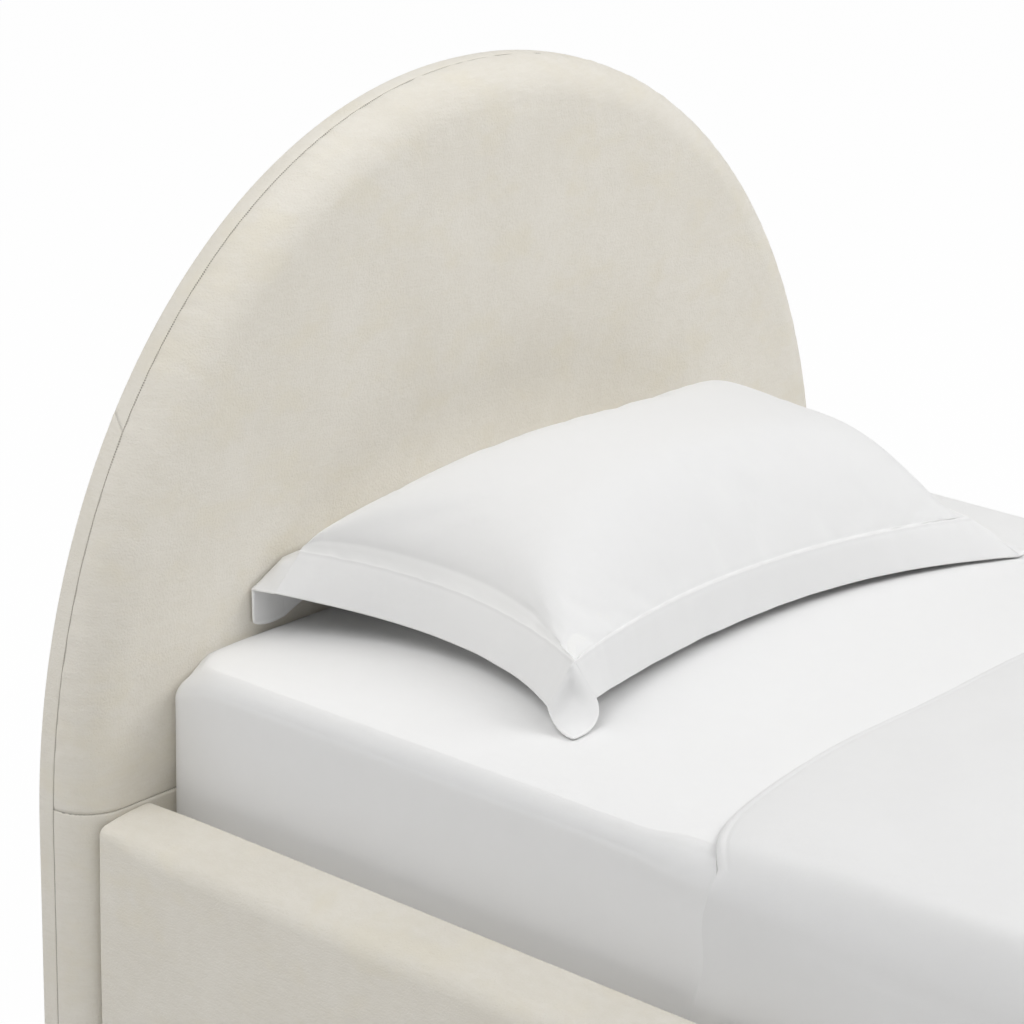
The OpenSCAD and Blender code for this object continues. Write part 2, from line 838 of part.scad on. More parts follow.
module angle_bracket(height, side_bolts, face_bolts)
    difference() {
        union() {
            cube([bracket_l, bracket_t, height]);
            cube([bracket_t, bracket_l, height]);
        }
        for (z = side_bolts)
            translate([-over, bolt_offset, z])
                rotate([0, 90, 0])
                    cylinder(h = bracket_t + 2 * over, r = bolt_d / 2 + bolt_gap);
        for (z = face_bolts)
            translate([bolt_offset, bracket_t + over, z])
                rotate([90, 0, 0])
                    cylinder(h = bracket_t + 2 * over, r = bolt_d / 2 + bolt_gap);
    }

module head_corner_brackets()
    color(steel)
        for (side = [-1, 1])
            mirrored(-side)
                translate([-board_x, head_face, head_bracket_z])
                    mirror([0, 1, 0])
                        angle_bracket(
                            head_bracket_h,
                            [for (z = head_bolt_z) z - head_bracket_z],
                            [for (z = head_bolt_z) z - head_bracket_z]
                        );

module foot_corner_brackets()
    color(steel)
        for (side = [-1, 1])
            mirrored(-side)
                translate([-board_x, foot_board_y, foot_bracket_z])
                    angle_bracket(foot_bracket_h, [foot_bracket_h / 2], [foot_bracket_h / 2]);

// A bolt along +z with its head's seat at z = 0
module bolt(shank) {
    translate([0, 0, -head_l]) cylinder(h = head_l, r = head_r);
    cylinder(h = shank, r = bolt_d / 2);
}

// How far a screw or bolt stops short of the far face of what it holds
point_cover = 1;
head_bolt_l = bracket_t + frame_back - point_cover;

module bracket_bolts()
    color(zinc) {
        for (side = [-1, 1], z = head_bolt_z)
            translate([side * bolt_x, head_face - bracket_t, z])
                rotate([-90, 0, 0])
                    bolt(head_bolt_l);
        for (side = [-1, 1])
            side_bolt_places(side)
                translate([0, 0, -bracket_t])
                    bolt(bracket_t + insert_l);
        foot_bolt_places()
            translate([0, 0, -bracket_t])
                bolt(bracket_t + insert_l);
        for (y = leg_y)
            translate([0, y, beam_bottom - leg_bolt_l / 2])
                cylinder(h = leg_bolt_l, r = bolt_d / 2);
    }

module insert(length, bore)
    difference() {
        cylinder(h = length, r = insert_r);
        translate([0, 0, -over]) cylinder(h = length + 2 * over, r = bore);
    }

module threaded_inserts()
    color(zinc) {
        for (side = [-1, 1], z = head_bolt_z)
            translate([side * bolt_x, head_face + edge_r, z])
                rotate([-90, 0, 0])
                    insert(frame_t, bolt_d / 2);
        for (side = [-1, 1])
            side_bolt_places(side)
                insert(insert_l, bolt_d / 2);
        foot_bolt_places()
            insert(insert_l, bolt_d / 2);
        for (y = leg_y)
            translate([0, y, leg_bottom])
                insert(level_insert_l, bolt_d / 2);
    }

// A screw along +z with the top of its sunk or flat head at z = 0
module screw(length) {
    cylinder(h = length, r = screw_r);
    translate([0, 0, -screw_head_l]) cylinder(h = screw_head_l, r = screw_head_r);
}

module wood_screws()
    color(zinc) {
        for (side = [-1, 1])
            ledger_screw_places(side)
                screw(screw_l);
        head_hanger_screw_places()
            screw(screw_l);
        foot_hanger_screw_places()
            screw(rail_board_t + bracket_t - 4 * point_cover);
        for (side = [-1, 1], k = [0:slat_count - 1])
            translate([side * (board_x - ledger_w / 2), slat_y(k), slat_top - slat_screw_l])
                cylinder(h = slat_screw_l, r = screw_r);
    }

foot_block_y = foot_board_y;

module foot_corner_blocks()
    color(timber)
        for (side = [-1, 1])
            translate([side > 0 ? board_x - block_w : -board_x, foot_block_y, board_bottom])
                cube([block_w, block_w, block_h]);

module rail_feet()
    color(plastic)
        for (side = [-1, 1])
            translate([side * (board_x - block_w / 2), foot_block_y + block_w / 2, 0])
                cylinder(h = board_bottom, d = foot_d);

// Mattress and fitted sheet: rounded boxes built of rings round the mattress
corner_steps = 5;
least_corner_r = 1;
edge_steps = 4;
mattress_mid = (mattress_head + mattress_foot) / 2;
function box_ring(inset, z) =
    let (
        r = max(mattress_corner_r - inset, least_corner_r),
        x = mattress_w / 2 - inset - r,
        y = mattress_l / 2 - inset - r
    )
    [for (q = [0:3]) for (i = [0:corner_steps])
        let (a = 90 * q + 90 * i / corner_steps, sx = (q == 0 || q == 3) ? 1 : -1, sy = q < 2 ? 1 : -1)
        [sx * x + r * cos(a), mattress_mid + sy * y + r * sin(a), z]];
function foot_roll(skin) = [for (i = [0:edge_steps - 1]) let (a = 90 * i / (edge_steps - 1)) [
    mattress_foot_r - (mattress_foot_r + skin) * sin(a),
    mattress_bottom + mattress_foot_r - (mattress_foot_r + skin) * cos(a)
]];
function top_roll(skin) = [for (i = [0:edge_steps]) let (a = 90 * i / edge_steps) [
    mattress_edge_r - (mattress_edge_r + skin) * cos(a),
    mattress_top - mattress_edge_r + (mattress_edge_r + skin) * sin(a)
]];
function box_rings(profile) = [for (p = profile) box_ring(p[0], p[1])];

module mattress()
    color(linen)
        loft(box_rings(concat(foot_roll(0), top_roll(0))));

module fitted_sheet()
    color("white")
        loft(box_rings(concat(
            flipped(top_roll(sheet_fit)),
            flipped(foot_roll(sheet_fit)),
            [[sheet_turn_under, mattress_bottom - sheet_fit]],
            [[sheet_turn_under, mattress_bottom - sheet_fit - sheet_t]],
            foot_roll(sheet_fit + sheet_t),
            top_roll(sheet_fit + sheet_t)
        )));

// Pillow and sham: two skins over one grid. s and t run from -1 to 1 between the seams, and the
// flange lies outside them.
pillow_cols = 7;
pillow_rows = 5;
flange_cells = 2;
// Mean height of the seams' corners above the sheet, and how much further the left and back ones stand up
seam_corner_z = 60;
seam_tilt = 10;
// At their middle the side seams sink, and the front and back seams rise, the back one further
side_seam_sink = 7;
long_seam_lift = 10;
back_seam_lift = 4;
// The left side draws in this much further than the mean and the right side less, and the front and
// back draw in a share more than the sides. Both sides lean back at their middle.
draw_in_tilt = 19;
end_draw_in = pillow_draw_in * 1.14;
side_lean_back = 16;
pillow_head_gap = 28.5;
pillow_x = -11;
pillow_y = head_face - pillow_head_gap - pillow_d / 2;
// The flange hangs from the seams. Shares of its width: its reach outward at its middle and further
// at its corners, and how far its edge hangs below the seam, further at the front corners' tips and
// less at the back, where it lies against the headboard. Its left side reaches further there.
flange_reach = 0.36;
corner_reach = 0.28;
back_flange_reach = 22;
left_back_reach = 12;
flange_hang = 0.86;
tip_hang = 0.35;
back_hang = 0.12;
flange_slope = 60;
tip_z = 3;
// The crown lies off the middle, to the right, and is fuller on the right
crown_right = 0.16;
cross_power = 5;
end_power = 2.5;
fullness = 0.453;
right_fullness = 0.077;
function pillow_bulge(s, t) =
    let (
        across = s - crown_right * (1 - s * s),
        base = max(0, (1 - pow(abs(across), cross_power)) * (1 - pow(abs(t), end_power)))
    )
    pow(base, fullness - right_fullness * (s + 1) / 2);
function seam_z(s, t) =
    seam_corner_z + seam_tilt * (t - s) - side_seam_sink * (1 - t * t)
    + (long_seam_lift + back_seam_lift * t) * (1 - s * s);
function flange_edge_z(s, t) =
    let (hang = flange_hang + tip_hang * pow(s * t, 8) * (1 - t) / 2 - back_hang * (1 + t) / 2)
    max(tip_z, seam_z(s, t) - flange_w * hang);
crown_up = pillow_h - seam_z(0, 0) - flange_t / 2;
// How much further the underside swells than to the sheet, where it lies flat
underside_press = 20;
crown_down = seam_z(0, 0) - flange_t / 2 + underside_press;
// How far an inner skin ends short of the seams, in its own thickness
seam_tuck = 2.5;
function flange_out(place) = flange_w * (flange_reach + corner_reach * pow(place, 4));
// Index to place between the seams, and how far out on the flange it is from 0 to 1
function inner_place(i, n) = sin(90 * max(-n, min(n, i)) / n);
function outer_share(i, n) = max(0, abs(i) - n) / flange_cells;
function pillow_point(i, j, skin, face) =
    let (
        s = inner_place(i, pillow_cols),
        t = inner_place(j, pillow_rows),
        f = outer_share(i, pillow_cols),
        g = outer_share(j, pillow_rows),
        side_out = sign(i) * ceil(f),
        end_out = sign(j) * ceil(g),
        end_reach = j > 0 ? back_flange_reach : flange_out(s),
        tuck = seam_tuck * skin,
        drop = max(f, g),
        mid = seam_z(s, t) * (1 - drop) + flange_edge_z(s, t) * drop,
        half = flange_t / 2 - skin,
        lean = face * half * sin(flange_slope) / max(1, norm([side_out, end_out])),
        rise = half * (drop > 0 ? cos(flange_slope) : 1),
        side_draw = pillow_draw_in - draw_in_tilt * s,
        x = s * (pillow_w / 2 - tuck - side_draw * (1 - t * t)) + lean * side_out
            + sign(i) * flange_out(t) * f
            - (i < 0 ? left_back_reach * pow((1 + t) / 2, 6) * f : 0),
        y = t * (pillow_d / 2 - tuck - end_draw_in * (1 - s * s)) + lean * end_out
            + side_lean_back * (1 - t * t) * pow(s, 8)
            + sign(j) * end_reach * g,
        z = face > 0
            ? mid + rise + crown_up * pillow_bulge(s, t)
            : max(rest_gap + skin, mid - rise - crown_down * pillow_bulge(s, t))
    )
    [pillow_x + x, pillow_y + y, sheet_top + z];
function pillow_grid(cols, rows, skin, face) =
    [for (j = [-rows:rows]) [for (i = [-cols:cols]) pillow_point(i, j, skin, face)]];

// Closes two grids of points, one over the other, into a solid
module grid_solid(top, bottom) {
    rows = len(top);
    cols = len(top[0]);
    base = rows * cols;
    rim = concat(
        [for (i = [0:cols - 2]) i],
        [for (j = [0:rows - 2]) j * cols + cols - 1],
        [for (i = [cols - 1:-1:1]) (rows - 1) * cols + i],
        [for (j = [rows - 1:-1:1]) j * cols]
    );
    count = len(rim);
    polyhedron(
        points = concat(flat(top), flat(bottom)),
        faces = concat(
            [for (j = [0:rows - 2]) for (i = [0:cols - 2]) let (a = j * cols + i) [a, a + cols, a + cols + 1]],
            [for (j = [0:rows - 2]) for (i = [0:cols - 2]) let (a = j * cols + i) [a, a + cols + 1, a + 1]],
            [for (j = [0:rows - 2]) for (i = [0:cols - 2]) let (a = base + j * cols + i)
                [a, a + cols + 1, a + cols]],
            [for (j = [0:rows - 2]) for (i = [0:cols - 2]) let (a = base + j * cols + i)
                [a, a + 1, a + cols + 1]],
            [for (k = [0:count - 1]) let (m = (k + 1) % count) [rim[k], rim[m], base + rim[m]]],
            [for (k = [0:count - 1]) let (m = (k + 1) % count) [rim[k], base + rim[m], base + rim[k]]]
        ),
        convexity = 6
    );
}

module pillow_shape(skin, flange)
    grid_solid(
        pillow_grid(pillow_cols + flange, pillow_rows + flange, skin, 1),
        pillow_grid(pillow_cols + flange, pillow_rows + flange, skin, -1)
    );

pillow_gap = 0.3;
module pillow() color(linen) pillow_shape(sham_t + pillow_gap, 0);

module pillow_sham()
    color("white")
        difference() {
            pillow_shape(0, flange_cells);
            pillow_shape(sham_t, 0);
        }

// Duvet: a thick cloth over the mattress that hangs inside the rails on three sides. Its rings run
// from the head edge down the left side, round the foot and back up the right side.
duvet_side_cells = 9;
duvet_foot_cells = 6;
duvet_top_rings = 5;
// How far the head edge sags at the mattress's sides, over its whole width and close to them
duvet_head_sag = 55;
duvet_corner_sag = 20;
duvet_fold = 2.5;
duvet_foot_bow = 2.5;
duvet_hem_z = rail_top - duvet_tuck;
duvet_skin_in = sheet_fit + sheet_t + duvet_gap;
head_edge_run = 220;
spine_w = 60;
spine_inset = (mattress_w - spine_w) / 2;
// Turn of the folds' wave from one cell of the side to the next
fold_turn = 110;
function duvet_head_y(x) =
    let (s = min(1, abs(x) / (mattress_w / 2)))
    head_face - duvet_start - duvet_head_sag * pow(s, 4) - duvet_corner_sag * pow(s, 16);
function duvet_thickness(x, y) =
    let (s = min(1, max(0, (duvet_head_y(x) - y) / head_edge_run)))
    duvet_edge_t + (duvet_loft - duvet_edge_t) * sin(90 * s);
// One ring: an inset from the mattress's side, a height and a swing outward for the folds
function duvet_path(inset, z, loft_share, fold) =
    let (
        r = max(mattress_corner_r - inset, least_corner_r),
        x = mattress_w / 2 - inset,
        y_end = mattress_foot + inset,
        half = [for (i = [0:duvet_side_cells]) let (
                    top = duvet_head_y(x),
                    y = top + (y_end + r - top) * i / duvet_side_cells
                ) [-x - fold * (1 + sin(i * fold_turn)), y]],
        corner = [for (i = [1:corner_steps]) let (a = 180 + 90 * i / corner_steps)
                    [-x + r + r * cos(a), y_end + r + r * sin(a)]],
        foot = [for (i = [1:duvet_foot_cells / 2]) let (s = 1 - 2 * i / duvet_foot_cells)
                    [(-x + r) * s, y_end - duvet_foot_bow * (1 - s * s)]],
        left = concat(half, corner, foot),
        all = concat(left, [for (i = [len(left) - 2:-1:0]) [-left[i][0], left[i][1]]])
    )
    [for (p = all) [p[0], p[1], z + loft_share * duvet_thickness(p[0], p[1])]];
function duvet_rings(skin, loft_share) = concat(
    [for (i = [0:2]) duvet_path(-skin, duvet_hem_z + (mattress_top - mattress_edge_r - duvet_hem_z) * i / 3, 0,
        loft_share * duvet_fold * (1 - i / 3))],
    [for (i = [0:edge_steps]) let (a = 90 * i / edge_steps)
        duvet_path(
            mattress_edge_r - (mattress_edge_r + skin) * cos(a),
            mattress_top - mattress_edge_r + (mattress_edge_r + skin) * sin(a) - loft_share * duvet_edge_t * sin(a),
            loft_share * sin(a), 0
        )],
    [for (i = [1:duvet_top_rings]) let (s = i / duvet_top_rings)
        duvet_path(
            mattress_edge_r + (spine_inset - mattress_edge_r) * s,
            mattress_top + skin - loft_share * duvet_edge_t,
            loft_share, 0
        )]
);

module duvet()
    color("white")
        open_shell(duvet_rings(duvet_skin_in + duvet_edge_t, 1), duvet_rings(duvet_skin_in, 0));

headboard_panel();
headboard_left_stile();
headboard_right_stile();
headboard_lower_rail();
headboard_middle_rail();
headboard_arch_rib();
headboard_upright();
headboard_mounting_blocks();
headboard_foam();
headboard_upper_cover();
headboard_lower_cover();
headboard_left_band();
headboard_top_band();
headboard_right_band();
headboard_back_cloth();
headboard_glides();
left_rail_board();
left_rail_foam();
left_rail_cover();
right_rail_board();
right_rail_foam();
right_rail_cover();
foot_rail_board();
foot_rail_foam();
foot_rail_cover();
left_slat_ledger();
right_slat_ledger();
slat(0);  // slat_01
slat(1);  // slat_02
slat(2);  // slat_03
slat(3);  // slat_04
slat(4);  // slat_05
slat(5);  // slat_06
slat(6);  // slat_07
slat(7);  // slat_08
slat(8);  // slat_09
slat(9);  // slat_10
slat(10);  // slat_11
slat(11);  // slat_12
slat_straps();
centre_beam();
beam_hangers();
centre_leg_head();
centre_leg_middle();
centre_leg_foot();
levelling_foot_head();
levelling_foot_middle();
levelling_foot_foot();
head_corner_brackets();
foot_corner_brackets();
bracket_bolts();
threaded_inserts();
wood_screws();
foot_corner_blocks();
rail_feet();
mattress();
fitted_sheet();
pillow();
pillow_sham();
duvet();
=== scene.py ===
import math
import bmesh
import bpy
import numpy as np
from mathutils import Matrix, Vector


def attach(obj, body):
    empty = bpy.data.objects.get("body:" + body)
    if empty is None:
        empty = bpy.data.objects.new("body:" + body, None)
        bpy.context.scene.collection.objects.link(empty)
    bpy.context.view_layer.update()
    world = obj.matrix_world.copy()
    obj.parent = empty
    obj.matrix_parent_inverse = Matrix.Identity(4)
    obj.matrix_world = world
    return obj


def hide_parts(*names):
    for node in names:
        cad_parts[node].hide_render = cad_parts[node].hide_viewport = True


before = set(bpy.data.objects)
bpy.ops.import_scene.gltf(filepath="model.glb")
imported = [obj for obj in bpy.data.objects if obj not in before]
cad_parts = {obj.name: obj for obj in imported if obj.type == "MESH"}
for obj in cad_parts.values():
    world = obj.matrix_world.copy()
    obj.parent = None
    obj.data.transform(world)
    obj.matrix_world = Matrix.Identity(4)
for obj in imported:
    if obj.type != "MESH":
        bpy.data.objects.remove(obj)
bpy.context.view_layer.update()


# The headboard's wooden frame: a plywood panel with an arch rib, and stiles, cross rails and an
# upright of planed pine, glued and screwed. Its shapes come with the frame; the wood is finished here.
class Shade:
    """One output of a shader node. Arithmetic on it adds the Math nodes that work it out."""

    def __init__(self, finish, socket):
        self.finish = finish
        self.socket = socket

    def math(self, operation, *values):
        """The result of one Math node."""
        return self.finish.node("ShaderNodeMath", {"operation": operation}, dict(enumerate(values)))

    def __add__(self, other):
        return self.math("ADD", self, other)

    def __radd__(self, other):
        return self.math("ADD", other, self)

    def __sub__(self, other):
        return self.math("SUBTRACT", self, other)

    def __rsub__(self, other):
        return self.math("SUBTRACT", other, self)

    def __mul__(self, other):
        return self.math("MULTIPLY", self, other)

    def __rmul__(self, other):
        return self.math("MULTIPLY", other, self)

    def sine(self):
        """Its sine, with the value taken in radians."""
        return self.math("SINE", self)

    def above(self, low, high):
        """0 below low, 1 above high, smooth between them."""
        return self.finish.node(
            "ShaderNodeMapRange", {"interpolation_type": "SMOOTHSTEP"},
            {"Value": self, "From Min": low, "From Max": high},
        )


class Finish:
    """A surface finish made of nodes, worked out on Object coordinates or on a piece's own UV map."""

    def __init__(self, name, **sockets):
        self.material = bpy.data.materials.new(name)
        self.material.use_nodes = True
        self.tree = self.material.node_tree
        self.shader = self.tree.nodes["Principled BSDF"]
        self.fill(self.shader, {key.replace("_", " "): value for key, value in sockets.items()})

    @staticmethod
    def socket(sockets, key):
        """A socket by its number, its identifier or its name."""
        if isinstance(key, int):
            return sockets[key]
        return ([s for s in sockets if s.identifier == key] or [s for s in sockets if s.name == key])[0]

    def fill(self, node, values):
        """Sets a node's sockets to numbers and colours, or links them to other nodes' outputs."""
        for key, value in values.items():
            socket = self.socket(node.inputs, key)
            if isinstance(value, Shade):
                self.tree.links.new(value.socket, socket)
            elif isinstance(value, tuple) and socket.type == "RGBA":
                socket.default_value = (*value[:3], 1)
            else:
                socket.default_value = value

    def node(self, kind, settings=None, values=None, output=0):
        """Adds a node of that kind: its settings first, then the values or links of its sockets."""
        node = self.tree.nodes.new(kind)
        for key, value in (settings or {}).items():
            if key == "stops":
                ramp = node.color_ramp
                while len(ramp.elements) < len(value):
                    ramp.elements.new(1)
                for element, (place, colour) in zip(ramp.elements, value):
                    element.position = place
                    element.color = (*colour, 1)
            else:
                setattr(node, key, value)
        self.fill(node, values or {})
        return Shade(self, self.socket(node.outputs, output))

    def place(self, scale=(1, 1, 1), source="Object"):
        """A point of the piece in metres, stretched by scale."""
        point = self.node("ShaderNodeTexCoord", output=source)
        return self.node("ShaderNodeMapping", {}, {"Vector": point, "Scale": scale})

    def noise(self, place, size, detail=2, roughness=0.5):
        """Cloudy noise from 0 to 1, whose largest patches are about size across."""
        values = {"Vector": place, "Scale": 1 / size, "Detail": detail, "Roughness": roughness}
        return self.node("ShaderNodeTexNoise", {}, values)

    def mix(self, share, first, second):
        """The first colour where the share is 0, the second where it is 1."""
        values = {"Factor_Float": share, "A_Color": first, "B_Color": second}
        return self.node("ShaderNodeMix", {"data_type": "RGBA"}, values, output="Result_Color")

    def along(self, place, axis):
        """One coordinate of a place."""
        return self.node("ShaderNodeSeparateXYZ", {}, {"Vector": place}, output=axis)

    def bump(self, height, depth, normal=None):
        """A normal tilted by a relief of that depth in metres, on top of another one if it is given."""
        values = {"Height": height, "Distance": depth}
        if normal is not None:
            values["Normal"] = normal
        return self.node("ShaderNodeBump", {}, values)


def timber_finish(name, axis, pale, dark, fibre=0.0012):
    """Planed wood with its grain along an axis: noise stretched along the grain, ring bands and fibres."""
    wood = Finish(name, Roughness=0.55, Specular_IOR_Level=0.35)
    stretch = [1, 1, 1]
    stretch[axis] = 0.07
    place = wood.place(tuple(stretch))
    rings = wood.node(
        "ShaderNodeTexWave",
        {"wave_type": "RINGS", "rings_direction": "XYZ"[axis]},
        {"Vector": place, "Scale": 22, "Distortion": 3.5, "Detail": 2, "Detail Scale": 1.2},
    )
    fibres = wood.noise(place, fibre, 3, 0.6)
    clouds = wood.noise(place, 0.09, 2)
    share = rings * 0.45 + fibres * 0.3 + clouds * 0.25
    wood.fill(wood.shader, {
        "Base Color": wood.mix(share.above(0.2, 0.85), pale, dark),
        "Roughness": 0.45 + fibres * 0.25,
        "Normal": wood.bump(fibres * 0.6 + rings * 0.4, 0.0002),
    })
    return wood.material


def finish_nodes(material, *names):
    """Gives pieces that come with the frame a finish."""
    for name in names:
        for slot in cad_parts[name].material_slots:
            slot.material = material


pine_pale = (0.72, 0.54, 0.33)
pine_dark = (0.52, 0.35, 0.18)
birch_pale = (0.74, 0.60, 0.42)
birch_dark = (0.60, 0.45, 0.29)
pine = [timber_finish(f"pine_{'xyz'[axis]}", axis, pine_pale, pine_dark) for axis in range(3)]
birch = [
    timber_finish(f"birch_ply_{'xyz'[axis]}", axis, birch_pale, birch_dark, fibre=0.0008)
    for axis in range(3)
]
finish_nodes(pine[0], "headboard_lower_rail", "headboard_middle_rail")
finish_nodes(pine[2], "headboard_left_stile", "headboard_right_stile", "headboard_upright")
finish_nodes(pine[2], "headboard_mounting_blocks")
finish_nodes(birch[0], "headboard_panel", "headboard_arch_rib")


# The headboard's padding: sheet foam glued over the panel's front and round its edge, cut to a bull
# nose whose outline is an arch of superellipse form over straight sides.
head_half = 0.592
head_h = 1.018
head_face = 0.9695
head_t = 0.066
glide_h = 0.010
arch_spring = 0.350
arch_power = 2.084
edge_r = 0.045
cover_t = 0.0016
panel_front = 0.033
panel_edge_gap = 0.014


def arch_half(z, inset):
    """Half width of the outline at height z: a (1 - (z/b)^n)^(1/n) above the spring, straight below it."""
    rise = head_h - inset - arch_spring
    share = np.clip((z - arch_spring) / rise, 0, 1)
    return (head_half - inset) * (1 - share ** arch_power) ** (1 / arch_power)


def arch_angle(z, inset):
    """The outline's angle at height z: arcsin((rise / b)^(n/2)), 0 at the spring."""
    share = np.clip((z - arch_spring) / (head_h - inset - arch_spring), 0, 1)
    return np.arcsin(share ** (arch_power / 2))


def arch_point(angle, inset):
    """x and z of the outline at an angle: a cos^(2/n), spring + b sin^(2/n)."""
    cosine = np.cos(angle)
    x = (head_half - inset) * np.sign(cosine) * np.abs(cosine) ** (2 / arch_power)
    z = arch_spring + (head_h - inset - arch_spring) * np.abs(np.sin(angle)) ** (2 / arch_power)
    return x, z


def distance_along(x, z):
    """How far along a line each of its points lies."""
    return np.concatenate([[0], np.cumsum(np.hypot(np.diff(x), np.diff(z)))])


def even_angles(start, end, step):
    """Angles on the outline between two angles, about step apart along it."""
    dense = np.linspace(start, end, 20001)
    length = distance_along(*arch_point(dense, edge_r / 2))
    count = int(round(length[-1] / step)) + 1
    return np.interp(np.linspace(0, length[-1], count), length, dense)


def grid_uv(points, closed):
    """Distances along the rows and the columns of a grid, in metres."""
    if closed:
        points = np.concatenate([points, points[:, :1]], axis=1)
    across = np.linalg.norm(np.diff(points, axis=1), axis=2)
    down = np.linalg.norm(np.diff(points, axis=0), axis=2)
    u = np.concatenate([np.zeros((len(points), 1)), np.cumsum(across, axis=1)], axis=1)
    v = np.concatenate([np.zeros((1, points.shape[1])), np.cumsum(down, axis=0)], axis=0)
    return np.stack([u, v], axis=-1)


def grid(points, closed=False, seam=None):
    """Points of a grid, its four-sided faces and the two UV maps of their corners; closed joins the last
    column to the first. The second map holds the run along the nearest seam and the distance from it."""
    rows, columns = points.shape[:2]
    index = np.arange(rows * columns).reshape(rows, columns)
    uv = grid_uv(points, closed)
    if closed:
        index = np.hstack([index, index[:, :1]])
    corners = [(slice(None, -1), slice(None, -1)), (slice(None, -1), slice(1, None)),
               (slice(1, None), slice(1, None)), (slice(1, None), slice(None, -1))]
    faces = np.stack([index[c] for c in corners], axis=-1).reshape(-1, 4)
    loops = np.stack([uv[c] for c in corners], axis=-2).reshape(-1, 4, 2)
    seam_loops = None
    if seam is not None:
        if closed:
            seam = np.concatenate([seam, seam[:, :1]], axis=1)
        seam_loops = np.stack([seam[c] for c in corners], axis=-2).reshape(-1, 4, 2)
    return points.reshape(-1, 3), faces, loops, seam_loops


weld = 2e-5


def make(name, grids, finish, body, replaced, wall=0, fill_holes=False):
    """One piece from grids: joined, welded where points meet, turned outwards, with a wall if it has
    one. It takes the place of the frame's pieces in replaced."""
    points = np.concatenate([g[0] for g in grids])
    starts = np.cumsum([0] + [len(g[0]) for g in grids[:-1]])
    faces = np.concatenate([g[1] + start for g, start in zip(grids, starts)])
    loops = np.concatenate([g[2] for g in grids])
    mesh = bpy.data.meshes.new(name)
    mesh.vertices.add(len(points))
    mesh.vertices.foreach_set("co", points.astype(np.float32).ravel())
    mesh.loops.add(faces.size)
    mesh.loops.foreach_set("vertex_index", faces.astype(np.int32).ravel())
    mesh.polygons.add(len(faces))
    mesh.polygons.foreach_set("loop_start", np.arange(0, faces.size, 4, dtype=np.int32))
    mesh.uv_layers.new(name="cut")
    mesh.update(calc_edges=True)
    mesh.uv_layers["cut"].data.foreach_set("uv", loops.astype(np.float32).ravel())
    if grids[0][3] is not None:
        mesh.uv_layers.new(name="seam")
        seams = np.concatenate([g[3] for g in grids])
        mesh.uv_layers["seam"].data.foreach_set("uv", seams.astype(np.float32).ravel())
    shape = bmesh.new()
    shape.from_mesh(mesh)
    bmesh.ops.remove_doubles(shape, verts=shape.verts, dist=weld)
    if fill_holes:
        bmesh.ops.holes_fill(shape, edges=[e for e in shape.edges if e.is_boundary])
    bmesh.ops.recalc_face_normals(shape, faces=shape.faces)
    for face in shape.faces:
        face.smooth = True
    shape.to_mesh(mesh)
    shape.free()
    mesh.materials.append(finish)
    piece = bpy.data.objects.new(name, mesh)
    bpy.context.scene.collection.objects.link(piece)
    if wall:
        modifier = piece.modifiers.new("wall", "SOLIDIFY")
        modifier.thickness = wall
        modifier.offset = -1
    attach(piece, body)
    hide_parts(*replaced)
    return piece


waves = 14


def swell(places, size, seed):
    """Smooth noise from about -1 to 1: a sum of plane sine waves of lengths near size, in directions
    that the seed settles."""
    draw = np.random.default_rng(seed)
    directions = draw.normal(size=(waves, places.shape[-1]))
    directions /= np.linalg.norm(directions, axis=1, keepdims=True)
    rates = 2 * np.pi / (size * draw.uniform(0.7, 1.5, waves))
    turns = places @ (directions * rates[:, None]).T + draw.uniform(0, 2 * np.pi, waves)
    return np.sin(turns).sum(axis=-1) / math.sqrt(waves / 2) / 1.6


foam_finish = Finish("foam", Roughness=0.95, Specular_IOR_Level=0.1)
cells = foam_finish.node(
    "ShaderNodeTexVoronoi", {}, {"Vector": foam_finish.place(), "Scale": 900}, output="Distance"
)
foam_finish.fill(foam_finish.shader, {
    "Base Color": foam_finish.mix(cells, (0.86, 0.80, 0.52), (0.72, 0.63, 0.36)),
    "Normal": foam_finish.bump(cells, 0.0004),
})
foam_finish = foam_finish.material


def head_columns(inset, z_low, step):
    """x and z of the outline, at stations shared by all insets: up the left side, over, down the right."""
    levels = np.linspace(z_low, arch_spring, max(2, int((arch_spring - z_low) / step)))[:-1]
    angles = even_angles(math.pi, 0, step)
    x, z = arch_point(angles, inset)
    side = np.full(len(levels), head_half - inset)
    return np.concatenate([-side, x, side]), np.concatenate([levels, z, levels[::-1]])


def nose(angle, skin):
    """Inset and depth of the bull nose at an angle, from 0 at the side seam to 90 degrees at the face."""
    radius = edge_r - skin
    return edge_r - radius * math.cos(angle), edge_r - radius * math.sin(angle)


def head_ring(inset, depth, z_low, step):
    """The outline at an inset, as a line of points at a depth behind the face."""
    x, z = head_columns(inset, z_low, step)
    return np.stack([x, np.full_like(x, head_face + depth), z], axis=-1)


def ruled(edge, foot_z, rows):
    """Rows from an edge curve down to a straight line at foot_z: (1 - v) edge + v line."""
    foot = np.stack([
        np.linspace(edge[0, 0], edge[-1, 0], len(edge)),
        np.full(len(edge), edge[0, 1]),
        np.full(len(edge), foot_z),
    ], axis=-1)
    v = np.linspace(0, 1, rows)[1:, None, None]
    return edge[None] * (1 - v) + foot[None] * v


